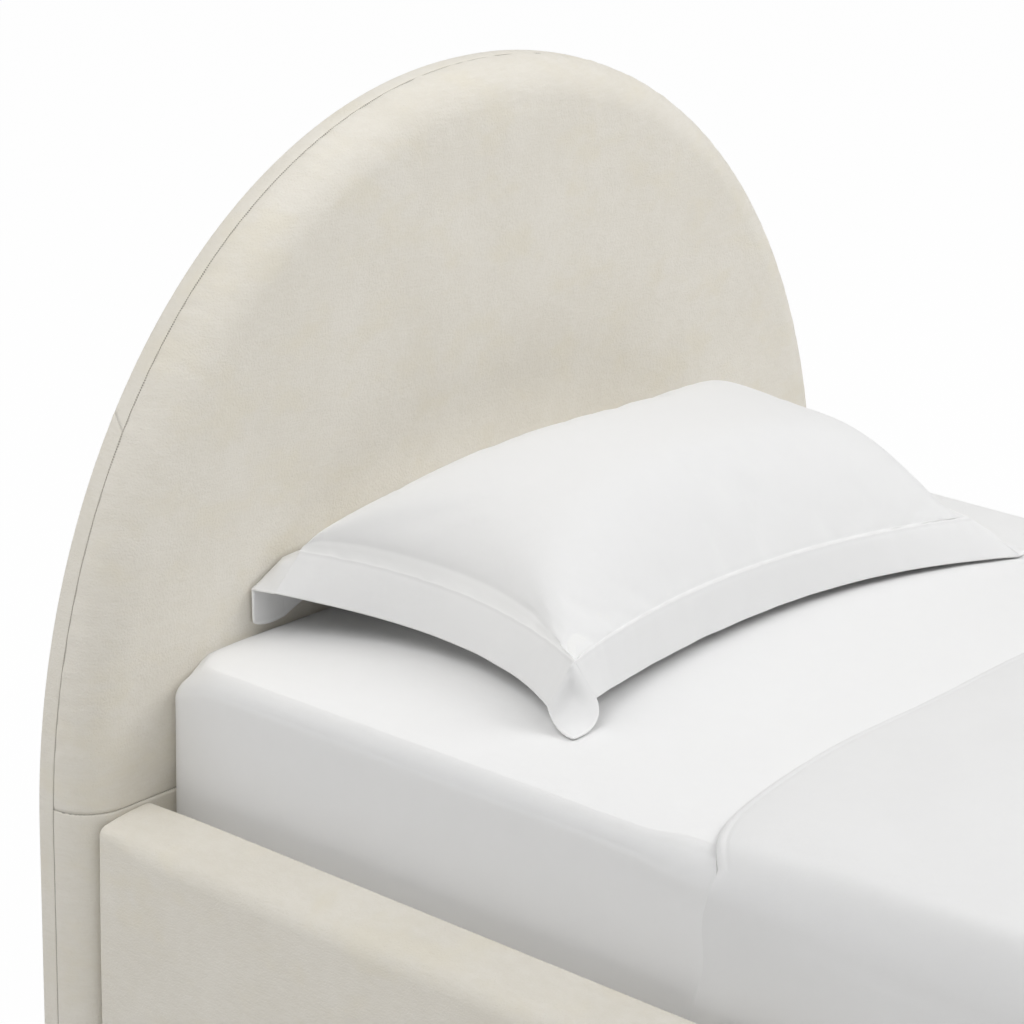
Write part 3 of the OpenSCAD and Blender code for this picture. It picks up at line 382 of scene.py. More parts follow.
foam_step = 0.014
foam_gap = 0.0002
foam_skin = cover_t + foam_gap
foam_rings = [head_ring(*nose(a, foam_skin), glide_h, foam_step) for a in np.linspace(math.pi / 2, 0, 9)]
foam_rings.append(head_ring(panel_edge_gap, edge_r, glide_h, foam_step))
foam_rings.append(head_ring(panel_edge_gap, panel_front, glide_h, foam_step))
foam_shell = np.concatenate([
    ruled(foam_rings[0], glide_h, 30)[::-1],
    np.stack(foam_rings),
    ruled(foam_rings[-1], glide_h, 30),
])
head_padding = make(
    "headboard_padding", [grid(foam_shell)], foam_finish, "bed_frame",
    ["headboard_foam"], fill_holes=True,
)


# The headboard's velvet: an upper and a lower front cover stretched over the foam, sewn at the
# sides to narrow bands that run round the edge, with a cross seam in the band on each side.
front_seam_z = 0.378
band_seam_z = 0.731
stitch_pitch = 0.0025
seam_depth = 0.0006
seam_width = 0.0013


def velvet_finish(name, sewn):
    """Short-pile velvet: soft and warmer patches and brushed streaks of nap over a fine grain of tufts;
    sewn pieces have painted shade along their seams: a faint dark line in the crease, and darker dots, a
    pitch apart, where the stitches sink in."""
    velvet = Finish(name, Roughness=0.85, Specular_IOR_Level=0.2, Sheen_Weight=0.30, Sheen_Roughness=0.45)
    place = velvet.place()
    patches = velvet.noise(place, 0.10, 3, 0.55)
    nap = velvet.noise(place, 0.016, 3, 0.6)
    streaks = velvet.noise(velvet.place((0.14, 0.14, 1)), 0.0026, 3, 0.65)
    tufts = velvet.noise(place, 0.0020, 2, 0.6)
    share = patches * 0.38 + nap * 0.18 + streaks * 0.32 + tufts * 0.12
    colour = velvet.mix(share.above(0.3, 0.7), velvet_deep, velvet_pale)
    warmth = velvet.noise(velvet.place((0.6, 0.6, 1)), 0.045, 3, 0.6).above(0.46, 0.70)
    colour = velvet.mix(warmth * 0.5, colour, velvet_warm)
    normal = velvet.bump(tufts, 0.0005, velvet.bump(nap * 0.7 + streaks * 0.3, 0.0008))
    if sewn:
        seam = velvet.node("ShaderNodeUVMap", {"uv_map": "seam"})
        # painted shade: a faint dark line in the seam's crease and darker dots at the stitch holes
        line = 1 - velvet.along(seam, 1).above(0.0003, 0.0011)
        stitch_hole_shade = (velvet.along(seam, 0) * (2 * math.pi / stitch_pitch)).sine().above(-0.1, 0.5)
        colour = velvet.mix(line * (0.12 + stitch_hole_shade * 0.70), colour, painted_seam_shade)
    velvet.fill(velvet.shader, {"Base Color": colour, "Normal": normal})
    return velvet.material


velvet_pale = (0.839, 0.804, 0.730)
velvet_deep = (0.778, 0.738, 0.652)
velvet_warm = (0.798, 0.748, 0.625)
# colour of the painted shade along the seams
painted_seam_shade = (0.17, 0.145, 0.11)
velvet = velvet_finish("velvet", False)
sewn_velvet = velvet_finish("sewn_velvet", True)


def nearest_seam(*seams):
    """The run along the nearest of some seams and the distance from it, each given as distance, run."""
    seams = [np.stack(np.broadcast_arrays(*seam), axis=-1) for seam in seams]
    best = seams[0]
    for seam in seams[1:]:
        best = np.where(seam[..., :1] < best[..., :1], seam, best)
    return best[..., ::-1]


def valley(distance, width=seam_width):
    """Share of a seam's depth at a distance from it: exp(-(d/w)^2)."""
    return np.exp(-(distance / width) ** 2)


def pucker(along, away, size, seed):
    """Small gathers beside a seam: long waves square to it that fade as exp(-d/r) with distance from it."""
    places = np.stack(np.broadcast_arrays(along, away * 0.35), axis=-1)
    return swell(places, size, seed) * np.exp(-away / 0.022)


cover_step = 0.004
nose_arc = (math.pi / 2) * edge_r
face_crown = 0.0028
lower_crown = 0.0025
crown_reach = 0.12
face_wave = 0.0004
upper_gather = 0.0007
lower_gather = 0.0006
gather_size = 0.022
start = arch_angle(front_seam_z, edge_r / 2)
angles = even_angles(math.pi - start, start, cover_step)
along = distance_along(*arch_point(angles, edge_r / 2))
along_end = np.minimum(along, along[-1] - along)


def upper_nose_rows():
    """Rows of the upper cover over the nose, from the side seam to the face: quarter circles in section,
    sunk along the seams and puckered beside them."""
    rows = []
    seams = []
    for away in np.concatenate([np.linspace(0, 0.006, 7), np.linspace(0.0085, nose_arc, 17)]):
        gathers = upper_gather * pucker(along, away, gather_size, 11)
        skin = seam_depth * valley(away) + seam_depth * valley(along_end) - gathers * (away > 0)
        turn = away / edge_r
        inset = edge_r - (edge_r - skin) * math.cos(turn)
        depth = edge_r - (edge_r - skin) * math.sin(turn)
        low = arch_angle(front_seam_z, inset)
        share = (angles - start) / (math.pi - 2 * start)
        x, z = arch_point(low + share * (math.pi - 2 * low), inset)
        rows.append(np.stack([x, head_face + depth, z], axis=-1))
        seams.append(nearest_seam((away, along), (along_end, away)))
    return np.stack(rows), np.stack(seams)


upper_nose, nose_seams = upper_nose_rows()
face_edge = upper_nose[-1].copy()
v = np.concatenate([np.linspace(0, 1, 130)[1:-2], [0.988, 0.993, 0.9965, 1]])[:, None]
foot_x = np.linspace(face_edge[0, 0], face_edge[-1, 0], len(face_edge))
face_x = face_edge[None, :, 0] * (1 - v) + foot_x * v
face_z = face_edge[None, :, 2] * (1 - v) + front_seam_z * v
edge_room = np.minimum(arch_half(face_z, edge_r) - np.abs(face_x), face_z - front_seam_z)
face_y = head_face - face_crown * (1 - np.exp(-np.clip(edge_room, 0, 1) / crown_reach))
face_places = np.stack([face_x, face_z], axis=-1)
face_y += face_wave * swell(face_places, 0.16, 3) * np.clip(edge_room / 0.05, 0, 1)
face_y += seam_depth * valley(face_z - front_seam_z)
upper_face = np.stack([face_x, face_y, face_z], axis=-1)
face_seams = nearest_seam((edge_room + nose_arc, 0), (face_z - front_seam_z, face_x))
upper_seams = np.concatenate([nose_seams, face_seams])
upper_cover = make(
    "headboard_upper_velvet", [grid(np.concatenate([upper_nose, upper_face]), seam=upper_seams)],
    sewn_velvet, "bed_frame", ["headboard_upper_cover"], wall=cover_t,
)


foot_fold_r = 0.003


def lower_point_rows():
    """The lower cover in plan at each height: round the left nose, across the face and round the right
    nose. It is folded under the foam at its foot, and sunk along the seams."""
    turns = np.concatenate([np.linspace(0, 0.006, 5), np.linspace(0.009, math.pi / 2 * edge_r, 15)])
    turns = turns / edge_r
    fold = np.linspace(0, math.pi / 2, 5)[1:]
    heights = np.concatenate([
        np.full(4, glide_h), glide_h + foot_fold_r * (1 - np.cos(fold)),
        np.linspace(glide_h + 0.006, front_seam_z - 0.008, 62),
        front_seam_z - np.array([0.006, 0.0045, 0.003, 0.0015, 0]),
    ])
    under = np.concatenate([
        [0.022, 0.016, 0.010, foot_fold_r], foot_fold_r * (1 - np.sin(fold)), np.zeros(67),
    ])
    rows = []
    seams = []
    for z, tuck in zip(heights, under):
        skin = tuck + seam_depth * valley(turns * edge_r) + seam_depth * valley(front_seam_z - z)
        gathers = lower_gather * pucker(z, turns * edge_r, gather_size, 12)
        skin = skin - gathers * (turns > 0) * (tuck == 0)
        inset = edge_r - (edge_r - skin) * np.cos(turns)
        depth = edge_r - (edge_r - skin) * np.sin(turns)
        half = arch_half(z, inset)
        face = np.linspace(-half[-1], half[-1], 182)[1:-1]
        bulge = lower_crown * (1 - np.exp(-(half[-1] - np.abs(face)) / crown_reach))
        bulge = bulge * min(1, (z - glide_h) / 0.05)
        bulge = bulge * (1 - valley(front_seam_z - z))
        x = np.concatenate([-half, face, half[::-1]])
        y = head_face + np.concatenate([depth, depth[-1] - bulge, depth[::-1]])
        rows.append(np.stack([x, y, np.full_like(x, z)], axis=-1))
        away = np.concatenate([turns * edge_r, np.full(len(face), 1.0), turns[::-1] * edge_r])
        seams.append(nearest_seam((away, z), (front_seam_z - z, x)))
    return np.stack(rows), np.stack(seams)


lower_points, lower_seams = lower_point_rows()
lower_cover = make(
    "headboard_lower_velvet", [grid(lower_points, seam=lower_seams)], sewn_velvet,
    "bed_frame", ["headboard_lower_cover"], wall=cover_t,
)


band_crown = 0.0008
band_fold_r = 0.0025
bias_reach = 0.05
join_depth = 0.0004
join_w = 0.0011
join_line_h = 0.0005
join_line_away = 0.0026
join_line_w = 0.0014


def band_rows(x, z, reach, ends):
    """A band over an outline curve: from the side seam back to the edge, a little crowned, with a valley
    and a raised line at the cross seam. Its ends are cut on the bias: they shift along the curve with
    depth, by a shift that fades as exp(-(reach/r)^2)."""
    normal_x = np.gradient(z)
    normal_z = -np.gradient(x)
    length = np.hypot(normal_x, normal_z)
    normal_x, normal_z = normal_x / length, normal_z / length
    end = head_t - edge_r
    flat_end = head_t - edge_r - band_fold_r
    away = np.concatenate([np.linspace(0, 0.006, 6), np.linspace(0.008, flat_end, 8)])
    turn = np.linspace(0, math.pi / 2, 5)[1:]
    turned_in = [0.005, 0.009, 0.014]
    depths = np.concatenate([away, end - band_fold_r + band_fold_r * np.sin(turn), [end] * len(turned_in)])
    tucks = np.concatenate([np.zeros(len(away)), band_fold_r * (1 - np.cos(turn)), turned_in])
    rows = []
    seams = []
    run = distance_along(x, z)
    for depth, tuck in zip(depths, tucks):
        crown = band_crown * math.sin(math.pi * min(1, depth / end))
        join = join_depth * valley(reach, join_w) - join_line_h * valley(reach - join_line_away, join_line_w)
        inward = tuck - crown + seam_depth * valley(depth) + join
        bias = run + ends * min(depth, end) * np.exp(-(reach / bias_reach) ** 2)
        past = np.clip(bias - run[-1], 0, None)
        row_x = np.interp(bias, run, x) + past * (x[-1] - x[-2]) / (run[-1] - run[-2])
        row_z = np.interp(bias, run, z) + past * (z[-1] - z[-2]) / (run[-1] - run[-2])
        row_y = np.full_like(x, head_face + edge_r + depth)
        rows.append(np.stack([row_x - normal_x * inward, row_y, row_z - normal_z * inward], axis=-1))
        seams.append(nearest_seam((depth, run)))
    return np.stack(rows), np.stack(seams)


band_angle = arch_angle(band_seam_z, 0)
band_bias = 0.85


def band_line(first, last, level=None):
    """The outline between two angles, carried straight down to a level if it is given."""
    x, z = arch_point(even_angles(first, last, cover_step), 0)
    if level is not None:
        low = np.arange(level, arch_spring, 0.006)
        x = np.concatenate([np.full(len(low), x[0]), x])
        z = np.concatenate([low, z])
    return x, z


side_x, side_z = band_line(0, band_angle, glide_h)
side_reach = distance_along(side_x, side_z)
side_reach = side_reach[-1] - side_reach
for side, word in ((-1, "left"), (1, "right")):
    band, band_seams = band_rows(side_x, side_z, side_reach, band_bias)
    band[..., 0] *= side
    band_cover = make(
        f"headboard_{word}_band_velvet", [grid(band, seam=band_seams)], sewn_velvet,
        "bed_frame", [f"headboard_{word}_band"], wall=cover_t,
    )
top_x, top_z = band_line(band_angle, math.pi - band_angle)
top_reach = distance_along(top_x, top_z)
top_ends = np.where(top_reach < top_reach[-1] / 2, band_bias, -band_bias)
top_reach = np.minimum(top_reach, top_reach[-1] - top_reach)
top_band, top_seams = band_rows(top_x, top_z, top_reach, top_ends)
band_cover = make(
    "headboard_top_band_velvet", [grid(top_band, seam=top_seams)], sewn_velvet,
    "bed_frame", ["headboard_top_band"], wall=cover_t,
)


# The back of the headboard: spun-bonded lining cloth stapled over the frame, and two glides under it.
frame_edge_gap = cover_t + 0.0006
lining_step = 0.012
lining_turn_in = 0.003
lining_back = head_t - 0.0004
lining_slack = 0.0006
lining = Finish("back_cloth", Roughness=0.9, Specular_IOR_Level=0.2)
fibres = lining.noise(lining.place((1, 1, 0.4)), 0.0018, 4, 0.7)
spots = lining.node("ShaderNodeTexVoronoi", {}, {"Vector": lining.place(), "Scale": 420}, output="Distance")
lining.fill(lining.shader, {
    "Base Color": lining.mix(fibres, (0.018, 0.018, 0.020), (0.055, 0.055, 0.058)),
    "Normal": lining.bump(spots, 0.0003, lining.bump(fibres, 0.0003)),
})
lining = lining.material
back_edge = head_ring(frame_edge_gap + lining_turn_in, lining_back, glide_h, lining_step)
back_rows = np.concatenate([back_edge[None], ruled(back_edge, glide_h, 60)])
back_rows[..., 1] -= lining_slack * (1 + swell(back_rows[..., ::2], 0.12, 21)) * 0.5
back_cloth = make(
    "headboard_back_lining", [grid(back_rows)], lining,
    "bed_frame", ["headboard_back_cloth"],
)
plastic = Finish("black_plastic", Base_Color=(0.02, 0.02, 0.022), Roughness=0.45, Specular_IOR_Level=0.4)
speckle = plastic.noise(plastic.place(), 0.0012, 2)
plastic.fill(plastic.shader, {
    "Base Color": plastic.mix(speckle, (0.016, 0.016, 0.018), (0.034, 0.034, 0.036)),
    "Roughness": 0.38 + speckle * 0.2,
    "Normal": plastic.bump(speckle, 0.0001),
})
plastic = plastic.material
finish_nodes(plastic, "headboard_glides")


# The rails: plywood boards wrapped in foam with a raised inner crest, and covered with the same
# velvet, which is turned under the board and stapled there. The foot rail goes round both corners.
rail_inner = 0.506
rail_t = 0.070
rail_outer = rail_inner + rail_t
rail_top = 0.377
rail_bottom = 0.050
rail_outer_r = 0.020
rail_inner_r = 0.009
board_in = 0.012
board_out = 0.042
cover_lap = 0.034
pad_bottom = 0.283
foot_face = -1.0355
foot_board_y = -0.9775
foot_corner_r = 0.028
board_bottom = 0.0516
board_top = 0.342
end_r = 0.003
rail_slope = math.radians(14)
end_slope = math.radians(6)
end_outer_r = 0.010
end_drop = 0.002
end_reach = 0.045
rail_fold_r = 0.004
rail_bow = 0.0012


def rail_line(skin, head_share=0.0):
    """u and z of a rail's section from its outer foot to its inner foot, u counting outward: a straight
    side, a round shoulder, a slope up to the inner crest, and the crest's round edge. Toward the head
    end the share rises to 1: the shoulder tightens, the top flattens and the crest comes down."""
    outer_r = rail_outer_r + (end_outer_r - rail_outer_r) * head_share
    slope = rail_slope + (end_slope - rail_slope) * head_share
    crest = rail_top - rail_inner_r - end_drop * head_share
    sharper = outer_r - rail_inner_r
    slope_w = rail_t - outer_r - rail_inner_r + sharper * math.sin(slope)
    shoulder = crest - sharper * math.cos(slope) - slope_w * math.tan(slope)
    side_z = np.linspace(rail_bottom + rail_fold_r, shoulder, 50)[:-1]
    bow = rail_bow * np.sin(math.pi * (side_z - side_z[0]) / (side_z[-1] - side_z[0]))
    a = np.linspace(0, math.pi / 2 - slope, 13)
    b = np.linspace(math.pi / 2 - slope, math.pi, 11)
    outer_u = rail_t - outer_r + (outer_r - skin) * np.cos(a)
    outer_z = shoulder + (outer_r - skin) * np.sin(a)
    inner_u = rail_inner_r + (rail_inner_r - skin) * np.cos(b)
    inner_z = crest + (rail_inner_r - skin) * np.sin(b)
    s = np.linspace(0, 1, 12)[1:-1]
    bow_up = rail_bow * np.sin(math.pi * s)
    down = np.linspace(crest, pad_bottom + 0.002, 14)[1:]
    corner = np.linspace(0, math.pi / 2, 5)[:-1]
    u = np.concatenate([
        [cover_lap, rail_t - 0.022, rail_t - 0.012],
        rail_t - rail_fold_r + (rail_fold_r - skin) * np.sin(corner),
        rail_t - skin + bow,
        outer_u, outer_u[-1] * (1 - s) + inner_u[0] * s, inner_u,
        np.full(len(down), skin),
    ])
    z = np.concatenate([
        np.full(3, rail_bottom + skin),
        rail_bottom + rail_fold_r - (rail_fold_r - skin) * np.cos(corner),
        side_z,
        outer_z, outer_z[-1] * (1 - s) + inner_z[0] * s + bow_up, inner_z,
        down,
    ])
    return u, z


def rail_cover(side):
    """The section carried along the bed, drawn in as a quarter circle of end_r at the head and at the
    foot joint. The share of the head's section fades as exp(-(d/r)^2) with distance from the headboard."""
    head_end = end_r - end_r * np.cos(np.linspace(0, math.pi / 2, 7))
    ys = np.concatenate([
        foot_board_y + 0.0004 + head_end[:-1],
        np.linspace(foot_board_y + 0.006, head_face - 0.006, 330),
        head_face - 0.0003 - head_end[::-1],
    ])
    rows = []
    for y in ys:
        near = min(head_face - 0.0003 - y, y - foot_board_y - 0.0004)
        reach = max(0.0, end_r - near)
        skin = end_r - math.sqrt(max(0, end_r ** 2 - reach ** 2))
        u, z = rail_line(skin, math.exp(-((head_face - y) / end_reach) ** 2))
        rows.append(np.stack([side * (rail_inner + u), np.full_like(u, y), z], axis=-1))
    return np.stack(rows)


def rail_foam(side):
    """The foam round a board: the section a cover's thickness in, closed along the board."""
    rows = []
    for y in np.linspace(foot_board_y + 0.001, head_face - 0.006, 60):
        u, z = rail_line(foam_skin, math.exp(-((head_face - y) / end_reach) ** 2))
        keep = slice(3, None, 2)
        u = np.concatenate([u[keep], [board_in, board_in, board_out, board_out]])
        z = np.concatenate([z[keep], [pad_bottom, board_top, board_top, board_bottom]])
        rows.append(np.stack([side * (rail_inner + u), np.full_like(u, y), z], axis=-1))
    return np.stack(rows)


finish_nodes(birch[1], "left_rail_board", "right_rail_board")
finish_nodes(birch[0], "foot_rail_board")
for side, word in ((-1, "left"), (1, "right")):
    foam = make(
        f"{word}_rail_padding", [grid(rail_foam(side), closed=True)], foam_finish,
        "bed_frame", [f"{word}_rail_foam"], fill_holes=True,
    )
    cover = make(
        f"{word}_rail_velvet", [grid(rail_cover(side))], velvet,
        "bed_frame", [f"{word}_rail_cover"], wall=cover_t,
    )


def foot_rows(skin, turned):
    """The foot rail's section round both corners: rings drawn in from its plan, mitred past the corner
    radius; turned is for the cover, whose foot is turned under the board."""
    u, z = rail_line(skin)
    if not turned:
        u, z = u[3::2], z[3::2]
    rows = []
    for inward, height in zip(rail_t - u, z):
        r = max(foot_corner_r - inward, 0.004)
        x = rail_outer - inward
        y = foot_face + inward
        if inward >= rail_t - board_in:
            x = rail_inner
            r = 0
        side_y = np.linspace(foot_board_y - 0.0004, min(y + r, foot_board_y - 0.0004), 7)
        a = np.linspace(math.pi, 1.5 * math.pi, 13)[1:]
        foot = np.linspace(-x + r, x - r, 200)[1:]
        left_x = np.concatenate([np.full(7, -x), -x + r + r * np.cos(a)])
        left_y = np.concatenate([side_y, y + r + r * np.sin(a)])
        if inward >= rail_t - board_in:
            left_y = np.full_like(left_y, y)
        xs = np.concatenate([left_x, foot, -left_x[:-1][::-1]])
        ys = np.concatenate([left_y, np.full(len(foot), left_y[-1]), left_y[:-1][::-1]])
        rows.append(np.stack([xs, ys, np.full_like(xs, height)], axis=-1))
    return np.stack(rows)


cover = make(
    "foot_rail_velvet", [grid(foot_rows(0, True))], velvet,
    "bed_frame", ["foot_rail_cover"], wall=cover_t,
)
foot_foam = foot_rows(foam_skin, False)
foam = make(
    "foot_rail_padding", [grid(foot_foam)], foam_finish,
    "bed_frame", ["foot_rail_foam"], fill_holes=True,
)


# The deck: twelve pine slats screwed to ledgers, spaced by two woven straps, over a centre beam on
# three legs with levelling feet; steel hangers, brackets, bolts, inserts and screws hold it.
steel = Finish("bracket_steel", Metallic=0.3, Roughness=0.5, Specular_IOR_Level=0.5)
coat = steel.noise(steel.place(), 0.0009, 2)
steel.fill(steel.shader, {
    "Base Color": steel.mix(coat, (0.035, 0.035, 0.038), (0.06, 0.06, 0.064)),
    "Roughness": 0.42 + coat * 0.2,
    "Normal": steel.bump(coat, 0.00015),
})
zinc = Finish("fastener_zinc", Metallic=1.0, Roughness=0.35)
bloom = zinc.noise(zinc.place(), 0.004, 3)
zinc.fill(zinc.shader, {
    "Base Color": zinc.mix(bloom, (0.62, 0.63, 0.64), (0.78, 0.78, 0.77)),
    "Roughness": 0.25 + bloom * 0.25,
})
finish_nodes(pine[0], *[f"slat_{k + 1:02d}" for k in range(12)])
finish_nodes(pine[1], "left_slat_ledger", "right_slat_ledger", "centre_beam")
finish_nodes(pine[2], "centre_leg_head", "centre_leg_middle", "centre_leg_foot", "foot_corner_blocks")
finish_nodes(steel.material, "beam_hangers", "head_corner_brackets", "foot_corner_brackets")
finish_nodes(zinc.material, "bracket_bolts", "threaded_inserts", "wood_screws")
finish_nodes(plastic, "levelling_foot_head", "levelling_foot_middle", "levelling_foot_foot", "rail_feet")
strap_x = 0.250
strap_w = 0.030
strap_ends = (-0.9575, 0.9595)
strap_under = 0.0001
ledger_top = 0.259
slat_pitch = 0.168
rib_pitch = 0.0018
cord_pitch = 0.0024


def webbing_finish():
    """Woven strap: ribs across it and cords along it."""
    web = Finish("strap_webbing", Roughness=0.8, Specular_IOR_Level=0.3)
    place = web.place(source="UV")
    ribs = (web.along(place, 1) * (2 * math.pi / rib_pitch)).sine()
    cords = (web.along(place, 0) * (2 * math.pi / cord_pitch)).sine()
    weave = ribs * cords * 0.5 + 0.5
    web.fill(web.shader, {
        "Base Color": web.mix(weave, (0.55, 0.54, 0.50), (0.78, 0.77, 0.73)),
        "Normal": web.bump(weave, 0.0003),
    })
    return web.material


webbing = webbing_finish()
strap_grids = []
for side in (-1, 1):
    xs = side * strap_x + np.linspace(-strap_w / 2, strap_w / 2, 9)
    ys = np.linspace(*strap_ends, 400)
    sag = 0.0003 + 0.0006 * (1 + np.sin(ys * 2 * math.pi / slat_pitch)) / 2
    zs = ledger_top - strap_under - sag
    strap = np.stack(np.broadcast_arrays(xs[None], ys[:, None], zs[:, None]), axis=-1)
    strap_grids.append(grid(strap))
straps = make("slat_webbing", strap_grids, webbing, "bed_frame", ["slat_straps"])


# The mattress: foam and springs in a knitted ticking, a rounded box whose top edge is pressed
# tighter at its head and along its free sides, and whose corners have sunk with use.
mattress_w = 0.965
mattress_l = 1.905
mattress_mid = 0.015
mattress_bottom = 0.2802
mattress_top = 0.5082
mattress_corner_r = 0.014
mattress_edge_r = 0.026
mattress_foot_r = 0.012


def box_stations(half, spacing):
    """Places from one side to the other, close together near both ends."""
    near = np.array([0, 0.002, 0.005, 0.009, 0.014, 0.020, 0.028, 0.038, 0.050])
    next_in = 0.062
    middle = np.linspace(-half + next_in, half - next_in, int(2 * half / spacing))
    return np.concatenate([near - half, middle, (half - near)[::-1]]) / half


def box_ring(inset, z, spacing=0.012):
    """A rounded rectangle round the mattress at an inset, with stations shared by all insets."""
    r = max(mattress_corner_r - inset, 0)
    x = mattress_w / 2 - inset - r
    y = mattress_l / 2 - inset - r
    across = box_stations(mattress_w / 2, spacing) * x
    along = box_stations(mattress_l / 2, spacing) * y
    a = np.linspace(0, math.pi / 2, 11)[1:-1]
    xs = np.concatenate([
        np.full_like(along, x + r), x + r * np.cos(a), across[::-1], -x - r * np.sin(a),
        np.full_like(along, -x - r), -x - r * np.cos(a), across, x + r * np.sin(a),
    ])
    ys = np.concatenate([
        along, y + r * np.sin(a), np.full_like(across, y + r), y + r * np.cos(a),
        along[::-1], -y - r * np.sin(a), np.full_like(across, -y - r), -y - r * np.cos(a),
    ])
    return np.stack([xs, mattress_mid + ys, np.full_like(xs, z)], axis=-1)


def box_flat(inset, z, spacing=0.012):
    """The flat inside a ring past the corner radius, on the same stations."""
    x = box_stations(mattress_w / 2, spacing)[None] * (mattress_w / 2 - inset)
    y = box_stations(mattress_l / 2, spacing)[:, None] * (mattress_l / 2 - inset)
    return np.stack(np.broadcast_arrays(x, mattress_mid + y, z), axis=-1)


def box_profile(skin):
    """Insets and heights round the mattress's section: a quarter circle at the bottom, a straight side,
    and a quarter circle at the top."""
    foot_r, edge_r = mattress_foot_r, mattress_edge_r
    foot_z, edge_z = mattress_bottom + foot_r, mattress_top - edge_r
    a = np.linspace(0, math.pi / 2, 7)
    b = np.linspace(0, math.pi / 2, 11)
    low = [(foot_r - (foot_r + skin) * math.sin(t), foot_z - (foot_r + skin) * math.cos(t)) for t in a]
    side = [(-skin, z) for z in np.linspace(foot_z, edge_z, 20)[1:-1]]
    high = [(edge_r - (edge_r + skin) * math.cos(t), edge_z + (edge_r + skin) * math.sin(t)) for t in b]
    return low + side + high


head_edge_r = 0.008
side_edge_r = 0.018
edge_reach = 0.080
edge_round = 0.012
edge_blend = 0.040
free_side_y = 0.36
free_side_blend = 0.05
side_droop = 0.004
droop_reach = 0.060
corner_sink = 0.011
sink_reach = 0.030


def ease(share):
    """0 below 0, 1 above 1, smooth between them: 3 s^2 - 2 s^3."""
    share = np.clip(share, 0, 1)
    return share * share * (3 - 2 * share)


def bed_in(points):
    """The used shape of the top: its roll is tighter along the head and the free sides, by the
    difference of the two radii, the sides droop, and the corners sink by shares that fade as
    exp(-(d/r)^2)."""
    half = mattress_w / 2
    side = half - np.abs(points[..., 0])
    head = mattress_mid + mattress_l / 2 - points[..., 1]
    rolled = points[..., 2] > mattress_top - mattress_edge_r - 1e-6
    free = ease((points[..., 1] - free_side_y) / free_side_blend)
    rolls = ((1, head, side, head_edge_r, 1.0), (0, side, head, side_edge_r, free))
    for axis, room, beside, radius, share in rolls:
        tighter = (mattress_edge_r - radius) * share * ease((beside - edge_round) / edge_blend) * rolled
        turn = np.clip(room / mattress_edge_r, 0, 1)
        outward = np.where(room < mattress_edge_r, turn, 1 - ease((room - mattress_edge_r) / edge_reach))
        sign = 1 if axis == 1 else np.sign(points[..., 0])
        lift = tighter * (1 - np.sqrt(1 - (1 - turn) ** 2))
        points[..., axis] += sign * tighter * outward
        points[..., 2] += lift
    high = np.clip((points[..., 2] - mattress_bottom) / (mattress_top - mattress_bottom), 0, 1) ** 4
    points[..., 2] -= side_droop * free * np.exp(-(side / droop_reach) ** 2) * high
    away = np.hypot(np.clip(side, 0, 1), np.clip(head, 0, 1))
    points[..., 2] -= corner_sink * np.exp(-(away / sink_reach) ** 2) * high
    return points


ticking = Finish("mattress_ticking", Roughness=0.85, Specular_IOR_Level=0.25)
knit = ticking.noise(ticking.place(), 0.0015, 2)
ticking.fill(ticking.shader, {
    "Base Color": ticking.mix(knit, (0.80, 0.80, 0.79), (0.90, 0.90, 0.89)),
    "Normal": ticking.bump(knit, 0.0004),
})
flat_inset = 0.030
inside = 0.0002
inner_top = mattress_top - inside
inner_bottom = mattress_bottom + inside
coarse_step = 0.02
profile = [(flat_inset, inner_bottom)] + box_profile(-inside) + [(flat_inset, inner_top)]
mattress = make(
    "mattress_body",
    [grid(bed_in(np.stack([box_ring(inset, z, coarse_step) for inset, z in profile])), closed=True),
     grid(bed_in(box_flat(flat_inset, inner_top, coarse_step))),
     grid(box_flat(flat_inset, inner_bottom, coarse_step))],
    ticking.material, "mattress", ["mattress"],
)


# The fitted sheet: white cotton percale with elastic in its hem, drawn over the mattress and turned
# under it all round.
sheet_t = 0.001
sheet_fit = 0.0002
sheet_skin = sheet_fit + sheet_t
sheet_turn_under = 0.070
thread_pitch = 0.0009


def cotton_finish(name, warm, sewn=False):
    """Percale: a fine plain weave on the piece's own cut, faintly uneven; a sewn piece is paler on the
    ridge of its seams and on the edge of its hem, partly where the folded cloth is double and partly as a
    painted highlight, and has painted shade in the groove beside each seam."""
    cotton = Finish(name, Roughness=0.8, Specular_IOR_Level=0.25, Sheen_Weight=0.08, Sheen_Roughness=0.4)
    place = cotton.place(source="UV")
    warp = (cotton.along(place, 0) * (2 * math.pi / thread_pitch)).sine()
    weft = (cotton.along(place, 1) * (2 * math.pi / thread_pitch)).sine()
    weave = warp * weft * 0.5 + 0.5
    slubs = cotton.noise(cotton.place(), 0.02, 3)
    colour = cotton.mix(slubs * 0.7 + weave * 0.3, tuple(c - 0.02 for c in warm), warm)
    if sewn:
        seam = cotton.node("ShaderNodeUVMap", {"uv_map": "seam"})
        away = cotton.along(seam, 1)
        hem = 1 - cotton.along(seam, 0).above(0.0010, 0.0026)
        ridge = 1 - away.above(0.0005, 0.0014)
        # painted shade in the groove beside each seam
        groove_shade = away.above(0.0009, 0.0018) * (1 - away.above(0.0022, 0.0045))
        colour = cotton.mix(groove_shade * 0.2, colour, painted_groove_shade)
        # paler seam ridge and hem edge: partly the double cloth, partly a painted highlight
        colour = cotton.mix(hem * 0.8 + ridge, colour, doubled_cloth_and_highlight)
    normal = cotton.bump(weave, 0.0001, cotton.bump(slubs, 0.0004))
    cotton.fill(cotton.shader, {"Base Color": colour, "Normal": normal})
    return cotton.material
